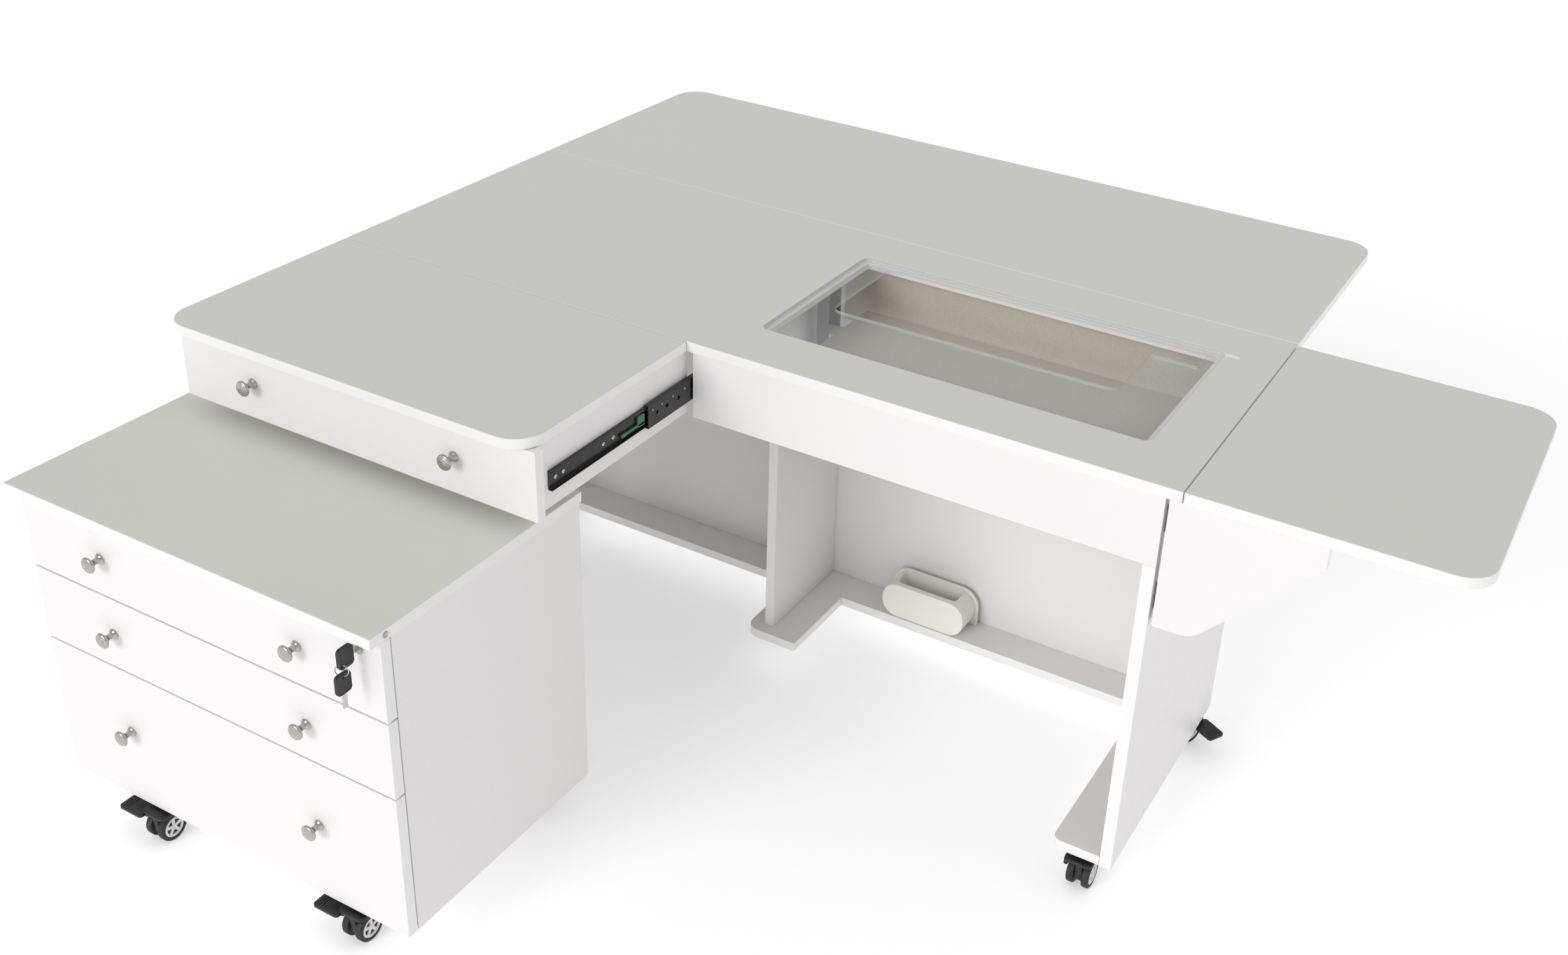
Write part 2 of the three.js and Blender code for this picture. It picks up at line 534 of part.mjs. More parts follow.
// ---------------------------------------------------------------- casters
/** A twin-wheel swivel caster turned about its stem, with or without a brake pedal beside the wheels. */
function addCaster(name, x, y, turn, hasPedal) {
  const group = new THREE.Group();
  group.position.set(x, y, 0);
  group.rotation.z = turn;
  table.add(group);
  const top = CABINET_BASE - FIT;
  const web = WHEEL_GAP / 2 - 1;
  const reach = WHEEL_GAP / 2 + WHEEL_TREAD;
  const trail = CASTER_TRAIL;
  const plate = block(-PLATE_HALF, PLATE_HALF, -PLATE_HALF, PLATE_HALF, top - 3, top);
  const stem = bar('z', STEM_RADIUS, 8, [0, 0, top - 6], 16);
  const hood = block(-reach - 2, reach + 8, -20, trail + 22, top - 9, top - 6);
  const cheek = block(reach + 1, reach + 8, -8, trail + 18, top - 22, top - 8);
  const bridge = outline([
    [-16, top - 8],
    [-10, 22],
    [trail - 7, 12],
    [trail + 8, 12],
    [trail + 20, 26],
    [trail + 20, top - 8],
  ]);
  const pieces = [plate, stem, hood, cheek, carriedAlongX(bridge, -web, web)];
  if (hasPedal) pieces.push(block(...PEDAL.x, ...PEDAL.y, ...PEDAL.z));
  const bore = bar('x', AXLE_RADIUS + 2 * FIT, 2 * (web + 1), [0, trail, WHEEL_RADIUS], 12);
  addPiece(group, `${name}_housing`, cut(joined(...pieces), bore), blackPlastic);

  const inner = WHEEL_GAP / 2;
  const profile = [
    [0, -reach + 2],
    [HUB_RADIUS, -reach + 2],
    [HUB_RADIUS + 1.5, -reach],
    [WHEEL_RADIUS, -reach],
    [WHEEL_RADIUS, -inner],
    [AXLE_RADIUS, -inner],
    [AXLE_RADIUS, inner],
    [WHEEL_RADIUS, inner],
    [WHEEL_RADIUS, reach],
    [HUB_RADIUS + 1.5, reach],
    [HUB_RADIUS, reach - 2],
    [0, reach - 2],
  ].map(([radius, along]) => new THREE.Vector2(radius, along));
  const wheels = new THREE.LatheGeometry(profile, 20).rotateZ(-Math.PI / 2);
  addPiece(group, `${name}_wheels`, wheels.translate(0, CASTER_TRAIL, WHEEL_RADIUS), wheelRubber);
}

function addCasters() {
  const about = Math.PI;
  addCaster('cabinet_caster_front_right', 738, 36, about, false);
  addCaster('cabinet_caster_rear_right', 748, 438, -0.51, true);
  addCaster('cabinet_caster_front_left', -664, 50, about, false);
  addCaster('cabinet_caster_rear_left', -664, 430, 0, true);
  addCaster('caddy_caster_front_left', -551, -642, about, true);
  addCaster('caddy_caster_front_right', -141, -637, about, true);
  addCaster('caddy_caster_rear_left', -560, -320, 0, true);
  addCaster('caddy_caster_rear_right', -141, -320, 0, true);
}

addTopAndLeaves();
addCabinet();
addLift();
addWings();
addExtension();
addCaddy();
addCasters();

// The table stands with the middle of its box over the origin.
const foremost = CADDY_FACE - LOCK.proud - KEY.neck - KEY_HEAD.length;
table.position.set(-(CADDY.x0 + RIGHT_LEAF_EDGE) / 2, -(foremost + REAR_LEAF_BACK) / 2, 0);

export default table;
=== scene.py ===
"""Looks of the sewing table, modelled in place over its packed design.

Metres, +Z up, floor at zero. Each class holds the sizes of one sub-assembly and builds its pieces over the
parts of the design that they stand for. Sizes in the classes are in millimetres, counted from the left end
of the apron, the front edge of the main top and the floor.
"""

import json
import logging
import math
from collections.abc import Callable, Iterator, Sequence
from contextlib import contextmanager
from dataclasses import dataclass
from enum import Enum

import bmesh
import bpy
from mathutils import Matrix, Vector


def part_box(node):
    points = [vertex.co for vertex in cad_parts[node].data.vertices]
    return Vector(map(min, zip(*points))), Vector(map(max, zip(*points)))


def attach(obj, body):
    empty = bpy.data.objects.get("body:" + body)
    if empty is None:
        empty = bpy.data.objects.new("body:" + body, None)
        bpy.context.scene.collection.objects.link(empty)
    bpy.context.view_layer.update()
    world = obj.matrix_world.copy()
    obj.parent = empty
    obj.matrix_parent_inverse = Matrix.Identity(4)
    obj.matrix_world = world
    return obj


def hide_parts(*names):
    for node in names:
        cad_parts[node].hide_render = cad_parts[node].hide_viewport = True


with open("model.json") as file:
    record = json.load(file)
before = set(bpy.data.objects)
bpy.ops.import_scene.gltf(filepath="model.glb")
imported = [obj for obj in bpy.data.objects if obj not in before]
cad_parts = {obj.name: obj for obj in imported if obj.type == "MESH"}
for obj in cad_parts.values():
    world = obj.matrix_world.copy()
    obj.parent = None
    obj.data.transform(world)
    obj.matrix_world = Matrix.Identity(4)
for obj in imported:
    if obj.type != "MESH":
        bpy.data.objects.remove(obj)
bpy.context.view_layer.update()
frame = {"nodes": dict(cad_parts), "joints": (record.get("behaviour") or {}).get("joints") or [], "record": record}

MM = 0.001
HOME = Vector((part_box("apron")[0].x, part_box("main_top")[0].y, 0.0))
PlaceTest = Callable[[Vector, Vector], bool]
Span = tuple[float, float]

# A distance in metres, two angles in degrees, four least parts of a direction, and a height in millimetres.
MERGE_DISTANCE = 0.00002
FLAT_ANGLE = 0.5
SHARP_ANGLE = 32
SQUARE = 0.99
FACING = 0.9
SIDEWAYS = 0.7
TILTED = 0.3
RIM = 1.2
log = logging.getLogger("sewing_table")


def at(x: float, y: float, z: float) -> Vector:
    """A point of the table, given in millimetres, in the shared frame."""
    return HOME + Vector((x, y, z)) * MM


class Slot(Enum):
    """The record's material slots."""

    LAMINATE = "grey_laminate"
    MELAMINE = "white_melamine"
    CREAM = "cream_plastic"
    PLATFORM = "platform_board"
    LIFT_STEEL = "lift_steel"
    ACRYLIC = "clear_acrylic"
    SLIDE_STEEL = "black_slide_steel"
    LATCH = "latch_plastic"
    NICKEL = "satin_nickel"
    BLACK_PLASTIC = "black_plastic"
    RUBBER = "wheel_rubber"


class Way(Enum):
    """Directions in which a turned part can stand."""

    LEFT = (-1, 0, 0)
    RIGHT = (1, 0, 0)
    FRONT = (0, -1, 0)
    BACK = (0, 1, 0)
    UP = (0, 0, 1)
    DOWN = (0, 0, -1)


# ---------------------------------------------------------------- finishes
class NodeBench:
    """Lays out the nodes of one finish."""

    NOISE_LOW = 0.34
    NOISE_HIGH = 0.66

    def __init__(self, name: str) -> None:
        """Starts an empty material.

        Args:
            name: The material's name.
        """
        self.material = bpy.data.materials.new(name)
        self.material.use_nodes = True
        self.tree = self.material.node_tree
        self.shader = self.tree.nodes["Principled BSDF"]
        self.place = self.tree.nodes.new("ShaderNodeTexCoord").outputs["Object"]

    def noise(
        self, scale: float, detail: float = 3.0, stretch: Sequence[float] = (1, 1, 1)
    ) -> bpy.types.NodeSocket:
        """Adds a noise in object space.

        Args:
            scale: Grains per metre.
            detail: Number of finer layers.
            stretch: Factors along X, Y and Z.

        Returns:
            The noise's value.
        """
        mapping = self.tree.nodes.new("ShaderNodeMapping")
        mapping.inputs["Scale"].default_value = stretch
        noise = self.tree.nodes.new("ShaderNodeTexNoise")
        noise.inputs["Scale"].default_value = scale
        noise.inputs["Detail"].default_value = detail
        self.tree.links.new(self.place, mapping.inputs["Vector"])
        self.tree.links.new(mapping.outputs["Vector"], noise.inputs["Vector"])
        return noise.outputs["Fac"]

    def between(self, value: bpy.types.NodeSocket, low: float, high: float) -> bpy.types.NodeSocket:
        """Spreads the middle of a noise over a range.

        Args:
            value: The noise.
            low: Result where the noise is low.
            high: Result where the noise is high.

        Returns:
            The result.
        """
        node = self.tree.nodes.new("ShaderNodeMapRange")
        node.inputs["From Min"].default_value = self.NOISE_LOW
        node.inputs["From Max"].default_value = self.NOISE_HIGH
        node.inputs["To Min"].default_value = low
        node.inputs["To Max"].default_value = high
        self.tree.links.new(value, node.inputs["Value"])
        return node.outputs["Result"]

    def mixed(self, factor: bpy.types.NodeSocket, first: object, second: object) -> bpy.types.NodeSocket:
        """Mixes two colours.

        Args:
            factor: Where the second colour shows.
            first: A colour or a socket.
            second: A colour or a socket.

        Returns:
            The mixed colour.
        """
        node = self.tree.nodes.new("ShaderNodeMix")
        node.data_type = "RGBA"
        self.tree.links.new(factor, node.inputs[0])
        for index, colour in ((6, first), (7, second)):
            if isinstance(colour, bpy.types.NodeSocket):
                self.tree.links.new(colour, node.inputs[index])
            else:
                node.inputs[index].default_value = (*colour, 1.0)
        return node.outputs[2]

    def relief(self, height: bpy.types.NodeSocket, strength: float, depth: float) -> None:
        """Presses a height into the surface.

        Args:
            height: The height.
            strength: How strongly it shows, from 0 to 1.
            depth: Its depth in metres.
        """
        node = self.tree.nodes.new("ShaderNodeBump")
        node.inputs["Strength"].default_value = strength
        node.inputs["Distance"].default_value = depth
        self.tree.links.new(height, node.inputs["Height"])
        self.tree.links.new(node.outputs["Normal"], self.shader.inputs["Normal"])


@dataclass(frozen=True)
class Finish:
    """A surface finish: two close colours in a fine grain, with cloudy tone, gloss and relief."""

    name: str
    light: tuple[float, float, float]
    dark: tuple[float, float, float]
    grain: float
    gloss: Span
    relief: float = 0.15
    depth: float = 0.00005
    metal: float = 0.0
    alpha: float = 1.0
    coat: float = 0.0
    specular: float = 0.5
    stretch: tuple[float, float, float] = (1.0, 1.0, 1.0)
    cloud: float = 3.0
    cloud_share: float = 0.25
    wear_scale: float = 14
    coat_roughness: float = 0.12

    def material(self) -> bpy.types.Material:
        """The finish's material, made on first use."""
        return bpy.data.materials.get(f"{self.name}_finish") or self._made()

    def _made(self) -> bpy.types.Material:
        """Lays out the finish's nodes.

        Returns:
            The new material.
        """
        bench = NodeBench(f"{self.name}_finish")
        grain = bench.noise(self.grain, 2.0, self.stretch)
        cloud = bench.noise(self.cloud, 4.0)
        speckled = bench.mixed(bench.between(grain, 0.0, 1.0), self.light, self.dark)
        shaded = bench.mixed(bench.between(cloud, 0.0, self.cloud_share), speckled, self.dark)
        bench.tree.links.new(shaded, bench.shader.inputs["Base Color"])
        wear = bench.noise(self.cloud * self.wear_scale, 5.0, self.stretch)
        bench.tree.links.new(bench.between(wear, *self.gloss), bench.shader.inputs["Roughness"])
        bench.relief(grain, self.relief, self.depth)
        bench.shader.inputs["Metallic"].default_value = self.metal
        bench.shader.inputs["Alpha"].default_value = self.alpha
        bench.shader.inputs["Coat Weight"].default_value = self.coat
        bench.shader.inputs["Coat Roughness"].default_value = self.coat_roughness
        bench.shader.inputs["Specular IOR Level"].default_value = self.specular
        return bench.material


LAMINATE = Finish("grey_laminate", (0.755, 0.752, 0.690), (0.695, 0.692, 0.634), 1400, (0.30, 0.40), 0.10)
MELAMINE = Finish("white_melamine", (0.860, 0.838, 0.830), (0.835, 0.812, 0.803), 700, (0.36, 0.50), 0.12)
EDGE_BAND = Finish("edge_band", (0.890, 0.884, 0.874), (0.865, 0.857, 0.844), 500, (0.30, 0.42), 0.10)
PLATFORM = Finish("platform_board", (0.600, 0.565, 0.495), (0.530, 0.495, 0.428), 420, (0.45, 0.60), 0.20)
CREAM = Finish("cream_plastic", (0.880, 0.862, 0.800), (0.850, 0.830, 0.765), 900, (0.34, 0.46), 0.20)
ACRYLIC = Finish("clear_acrylic", (0.560, 0.580, 0.575), (0.500, 0.520, 0.515), 60, (0.05, 0.12), 0.02,
                 alpha=0.12, coat=0.5)
ACRYLIC_EDGE = Finish("acrylic_edge", (0.800, 0.830, 0.820), (0.700, 0.735, 0.725), 900, (0.10, 0.22), 0.10,
                      alpha=0.40, coat=0.4)
LIFT_STEEL = Finish("lift_steel", (0.300, 0.300, 0.300), (0.240, 0.240, 0.240), 1600, (0.42, 0.55), 0.25,
                    metal=0.4)
SLIDE_STEEL = Finish("slide_steel", (0.024, 0.024, 0.025), (0.012, 0.012, 0.013), 900, (0.24, 0.38), 0.15,
                     metal=0.5, coat=0.3)
BRIGHT_STEEL = Finish("bright_steel", (0.640, 0.640, 0.630), (0.520, 0.520, 0.515), 2200, (0.22, 0.34), 0.15,
                      metal=1.0)
NICKEL = Finish("satin_nickel", (0.520, 0.505, 0.480), (0.410, 0.396, 0.375), 1800, (0.20, 0.34), 0.12,
                metal=1.0, stretch=(1.0, 1.0, 6.0))
# Hinge strip finish: the hinge is a real part, but its near-black colour is painted shade of the gap beside the
# right wing.
HINGE_AND_GAP_SHADE = Finish("hinge_gap_shade", (0.060, 0.048, 0.040), (0.034, 0.028, 0.024), 900, (0.35, 0.50), 0.20, metal=0.4)
LATCH = Finish("latch_plastic", (0.060, 0.230, 0.095), (0.040, 0.165, 0.066), 1200, (0.36, 0.48), 0.15)
BLACK_PLASTIC = Finish("black_plastic", (0.016, 0.016, 0.017), (0.009, 0.009, 0.010), 1500, (0.38, 0.52),
                       0.35)
RUBBER = Finish("wheel_rubber", (0.020, 0.020, 0.021), (0.012, 0.012, 0.013), 1100, (0.50, 0.68), 0.40)
HUB = Finish("hub_plastic", (0.780, 0.780, 0.780), (0.690, 0.690, 0.690), 1500, (0.28, 0.40), 0.15, metal=0.1)
WHITE_PLASTIC = Finish("white_plastic", (0.900, 0.900, 0.895), (0.870, 0.870, 0.860), 1100, (0.32, 0.44),
                       0.10)


# ---------------------------------------------------------------- the bench
class Workpiece:
    """One mesh on the bench, shaped with the edit-mode tools and then delivered as a finished piece."""

    def __init__(self, piece: bpy.types.Object) -> None:
        """Takes a mesh object to the bench.

        Args:
            piece: The object.
        """
        self.piece = piece

    @classmethod
    def _fresh(cls, name: str) -> "Workpiece":
        """Names the primitive that was just added and puts its place in its mesh.

        Args:
            name: The piece's name.

        Returns:
            The workpiece.
        """
        piece = bpy.context.object
        piece.name = name
        piece.data.name = name
        bpy.ops.object.transform_apply(location=True, rotation=True, scale=True)
        return cls(piece)

    @classmethod
    def block(cls, name: str, low: Vector, high: Vector) -> "Workpiece":
        """Starts from a block between two corners.

        Args:
            name: The piece's name.
            low: Its lowest corner.
            high: Its highest corner.

        Returns:
            The workpiece.
        """
        bpy.ops.object.select_all(action="DESELECT")
        bpy.ops.mesh.primitive_cube_add(size=1, location=(low + high) / 2, scale=high - low)
        return cls._fresh(name)

    @classmethod
    def block_mm(cls, name: str, x: Span, y: Span, z: Span) -> "Workpiece":
        """Starts from a block given by its spans in millimetres."""
        return cls.block(name, at(x[0], y[0], z[0]), at(x[1], y[1], z[1]))

    @classmethod
    def turned(
        cls, name: str, rings: Sequence[Span], place: Vector, way: Way, sides: int = 32
    ) -> "Workpiece":
        """Turns a part out of a disc that is extruded and resized ring by ring.

        Args:
            name: The piece's name.
            rings: Radius and height of each ring, in millimetres.
            place: The foot of the part's axis.
            way: The way its axis points.
            sides: Number of sides.

        Returns:
            The workpiece.
        """
        radius, height = rings[0]
        bpy.ops.object.select_all(action="DESELECT")
        bpy.ops.mesh.primitive_circle_add(vertices=sides, radius=radius * MM, fill_type="NGON",
                                          location=(0, 0, height * MM))
        work = cls._fresh(name)
        with work.editing():
            bpy.ops.mesh.select_all(action="SELECT")
            for next_radius, next_height in rings[1:]:
                rise = (next_height - height) * MM
                bpy.ops.mesh.extrude_region_move(TRANSFORM_OT_translate={"value": (0, 0, rise)})
                factor = next_radius / radius
                bpy.ops.transform.resize(value=(factor, factor, 1), center_override=(0, 0, next_height * MM))
                radius, height = next_radius, next_height
            bpy.ops.mesh.select_all(action="SELECT")
            bpy.ops.mesh.normals_make_consistent(inside=False)
        turn = Vector((0, 0, 1)).rotation_difference(Vector(way.value)).to_matrix().to_4x4()
        return work.moved(Matrix.Translation(place) @ turn)

    @classmethod
    def ring(cls, name: str, place: Vector, turn: Sequence[float], major: float, minor: float) -> "Workpiece":
        """Starts from a round ring.

        Args:
            name: The piece's name.
            place: Its middle.
            turn: Its turn about X, Y and Z, in radians.
            major: Radius of the ring in millimetres.
            minor: Radius of its wire in millimetres.

        Returns:
            The workpiece.
        """
        bpy.ops.object.select_all(action="DESELECT")
        bpy.ops.mesh.primitive_torus_add(major_segments=32, minor_segments=8, major_radius=major * MM,
                                         minor_radius=minor * MM, location=place, rotation=turn)
        return cls._fresh(name)

    @classmethod
    def from_design(cls, name: str, node: str) -> "Workpiece":
        """Starts from a merged copy of a part of the design.

        Args:
            name: The piece's name.
            node: The part's name in the design.

        Returns:
            The workpiece.
        """
        source = frame["nodes"][node]
        piece = bpy.data.objects.new(name, source.data.copy())
        piece.data.name = name
        piece.data.materials.clear()
        bpy.context.scene.collection.objects.link(piece)
        work = cls(piece)
        with work.editing():
            bpy.ops.mesh.select_all(action="SELECT")
            bpy.ops.mesh.remove_doubles(threshold=MERGE_DISTANCE)
            bpy.ops.mesh.dissolve_limited(angle_limit=math.radians(FLAT_ANGLE))
            bpy.ops.mesh.select_all(action="SELECT")
            bpy.ops.mesh.normals_make_consistent(inside=False)
        return work

    def alone(self) -> None:
        """Selects this piece and nothing else."""
        bpy.ops.object.select_all(action="DESELECT")
        self.piece.select_set(True)
        bpy.context.view_layer.objects.active = self.piece

    @contextmanager
    def editing(self) -> Iterator[None]:
        """Opens this piece, and nothing else, in edit mode."""
        self.alone()
        bpy.ops.object.mode_set(mode="EDIT")
        yield
        bpy.ops.object.mode_set(mode="OBJECT")

    def pick_faces(self, test: PlaceTest) -> None:
        """Selects the faces that pass a test. For use while editing.

        Args:
            test: The test of a face's middle and normal.
        """
        bpy.ops.mesh.select_mode(type="FACE")
        bpy.ops.mesh.select_all(action="DESELECT")
        mesh = bmesh.from_edit_mesh(self.piece.data)
        for face in mesh.faces:
            if test(face.calc_center_median(), face.normal):
                face.select_set(True)
        bmesh.update_edit_mesh(self.piece.data)

    def pick_edges(self, test: PlaceTest) -> None:
        """Selects the edges that pass a test. For use while editing.

        Args:
            test: The test of an edge's middle and direction.
        """
        bpy.ops.mesh.select_mode(type="EDGE")
        bpy.ops.mesh.select_all(action="DESELECT")
        mesh = bmesh.from_edit_mesh(self.piece.data)
        for edge in mesh.edges:
            start, end = (corner.co for corner in edge.verts)
            if test((start + end) / 2, (end - start).normalized()):
                edge.select_set(True)
        bmesh.update_edit_mesh(self.piece.data)

    def round_edges(
        self, along: int, radius: float, steps: int = 8, where: PlaceTest | None = None
    ) -> "Workpiece":
        """Rounds the edges that run along one axis.

        Args:
            along: 0, 1 or 2 for X, Y or Z.
            radius: The radius in millimetres.
            steps: Number of steps in the round.
            where: A further test of an edge's middle and direction.

        Returns:
            This workpiece.
        """

        def chosen(middle: Vector, way: Vector) -> bool:
            """Whether an edge runs along the axis and passes the further test."""
            return abs(way[along]) > SQUARE and (where is None or where(middle, way))

        with self.editing():
            self.pick_edges(chosen)
            bpy.ops.mesh.bevel(offset_type="OFFSET", offset=radius * MM, segments=steps, affect="EDGES")
        return self

    def hollowed(self, face: Way, wall: float, floor: float) -> "Workpiece":
        """Insets one side by the wall's thickness and pushes it in, down to a floor.

        Args:
            face: The side that is open.
            wall: Thickness of the walls in millimetres.
            floor: Thickness left at the bottom in millimetres.

        Returns:
            This workpiece.
        """
        way = Vector(face.value)
        reach = [corner.co.dot(way) for corner in self.piece.data.vertices]
        depth = max(reach) - min(reach) - floor * MM
        with self.editing():
            self.pick_faces(lambda middle, normal: normal.dot(way) > SQUARE)
            bpy.ops.mesh.inset(thickness=wall * MM, depth=0)
            bpy.ops.mesh.extrude_region_move(TRANSFORM_OT_translate={"value": -way * depth})
            bpy.ops.mesh.select_all(action="SELECT")
            bpy.ops.mesh.normals_make_consistent(inside=False)
        return self

    def cut(self, *cutters: "Workpiece") -> "Workpiece":
        """Cuts other workpieces out of this one and clears them away.

        Args:
            cutters: The workpieces to cut out.

        Returns:
            This workpiece.
        """
        for cutter in cutters:
            modifier = self.piece.modifiers.new("cut", "BOOLEAN")
            modifier.operation = "DIFFERENCE"
            modifier.solver = "EXACT"
            modifier.object = cutter.piece
            self.alone()
            bpy.ops.object.modifier_apply(modifier=modifier.name)
            bpy.data.objects.remove(cutter.piece)
        return self

    def with_parts(self, *others: "Workpiece") -> "Workpiece":
        """Joins other workpieces into this one's mesh.

        Args:
            others: The workpieces to join.

        Returns:
            This workpiece.
        """
        self.alone()
        for other in others:
            other.piece.select_set(True)
        bpy.ops.object.join()
        return self

    def softened(self, width: float = 0.8, steps: int = 2) -> "Workpiece":
        """Breaks every sharp edge.

        Args:
            width: Width of the broken edge in millimetres.
            steps: Number of steps across it.

        Returns:
            This workpiece.
        """
        modifier = self.piece.modifiers.new("edges", "BEVEL")
        modifier.width = width * MM
        modifier.segments = steps
        modifier.limit_method = "ANGLE"
        modifier.angle_limit = math.radians(SHARP_ANGLE)
        self.alone()
        bpy.ops.object.modifier_apply(modifier=modifier.name)
        return self

    def moved(self, matrix: Matrix) -> "Workpiece":
        """Moves the mesh itself.

        Args:
            matrix: The move.

        Returns:
            This workpiece.
        """
        self.alone()
        self.piece.matrix_world = matrix
        bpy.ops.object.transform_apply(location=True, rotation=True, scale=True)
        return self

    def copied(self, name: str) -> "Workpiece":
        """Makes a copy with a mesh of its own.

        Args:
            name: The copy's name.

        Returns:
            The copy.
        """
        piece = self.piece.copy()
        piece.data = self.piece.data.copy()
        piece.name = name
        piece.data.name = name
        bpy.context.scene.collection.objects.link(piece)
        return Workpiece(piece)

    def dressed(self, finish: Finish, *others: tuple[Finish, PlaceTest]) -> "Workpiece":
        """Gives the piece its finish, and other finishes to the faces that pass a test.

        Args:
            finish: The finish all over.
            others: A finish with a test of a face's middle and normal.

        Returns:
            This workpiece.
        """
        self.piece.data.materials.clear()
        for each in (finish, *(other for other, _ in others)):
            self.piece.data.materials.append(each.material())
        for face in self.piece.data.polygons:
            face.material_index = 0
            for index, (_, test) in enumerate(others, start=1):
                if test(face.center, face.normal):
                    face.material_index = index
                    break
        return self

    def delivered(self, body: str, slot: Slot, *nodes: str, smooth: float = 18) -> bpy.types.Object:
        """Hands the finished piece over to its body.

        Args:
            body: The body it moves with.
            slot: The record's material slot; not used.
            nodes: Parts of the design that it stands for.
            smooth: Edges flatter than this many degrees look smooth.

        Returns:
            The finished object.
        """
        self.alone()
        bpy.ops.object.shade_smooth_by_angle(angle=math.radians(smooth))
        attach(self.piece, body)
        if nodes:
            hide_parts(*nodes)
        log.info("%s: %d faces, on %s", self.piece.name, len(self.piece.data.polygons), body)
        return self.piece


def body_of(node: str) -> str:
    """The body that a part of the design belongs to."""
    return next(name for name, nodes in frame["record"]["behaviour"]["bodies"].items() if node in nodes)


def board(node: str) -> Workpiece:
    """A block of board that fills a part's box."""
    return Workpiece.block(f"{node}_board", *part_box(node))


def narrow_edge(across: int) -> PlaceTest:
    """A test for the banded edges of a board whose thickness runs along an axis."""
    return lambda middle, normal: abs(normal[across]) < SIDEWAYS


def upper_face(top: float) -> PlaceTest:
    """A test for the upper face of a board and its broken rim, given the face's height."""
    return lambda middle, normal: normal.z > TILTED and middle.z > top - RIM * MM


def knuckle_rings(radius: float, half: float, split: float, depth: float) -> list[Span]:
    """The profile of the knuckles of a hinge, with broken ends and a groove at both splits.

    Args:
        radius: Radius of the knuckles in millimetres.
        half: Half of their whole length.
        split: Distance of the splits from the middle.
        depth: Depth of the grooves.

    Returns:
        Radius and height of each ring.
    """
    chamfer, bevel, lip, floor = 0.4, 0.6, 0.4, 0.2
    side = [(radius, split - lip), (radius - depth, split - floor), (radius - depth, split + floor),
            (radius, split + lip), (radius, half - bevel), (radius - chamfer, half)]
    return [(ring, -height) for ring, height in reversed(side)] + side


def screw_head(name: str, place: Vector, way: Way, radius: float = 3.5) -> Workpiece:
    """A pan-headed screw with a socket.

    Args:
        name: The piece's name.
        place: Middle of the seat.
        way: The way the head looks.
        radius: Radius of the head in millimetres.

    Returns:
        The workpiece.
    """
    rings = [(radius, -0.2), (radius, 0.5), (radius * 0.86, 1.2), (radius * 0.55, 1.6), (radius * 0.4, 1.6),
             (radius * 0.34, 0.7)]
    return Workpiece.turned(name, rings, place, way, 16)


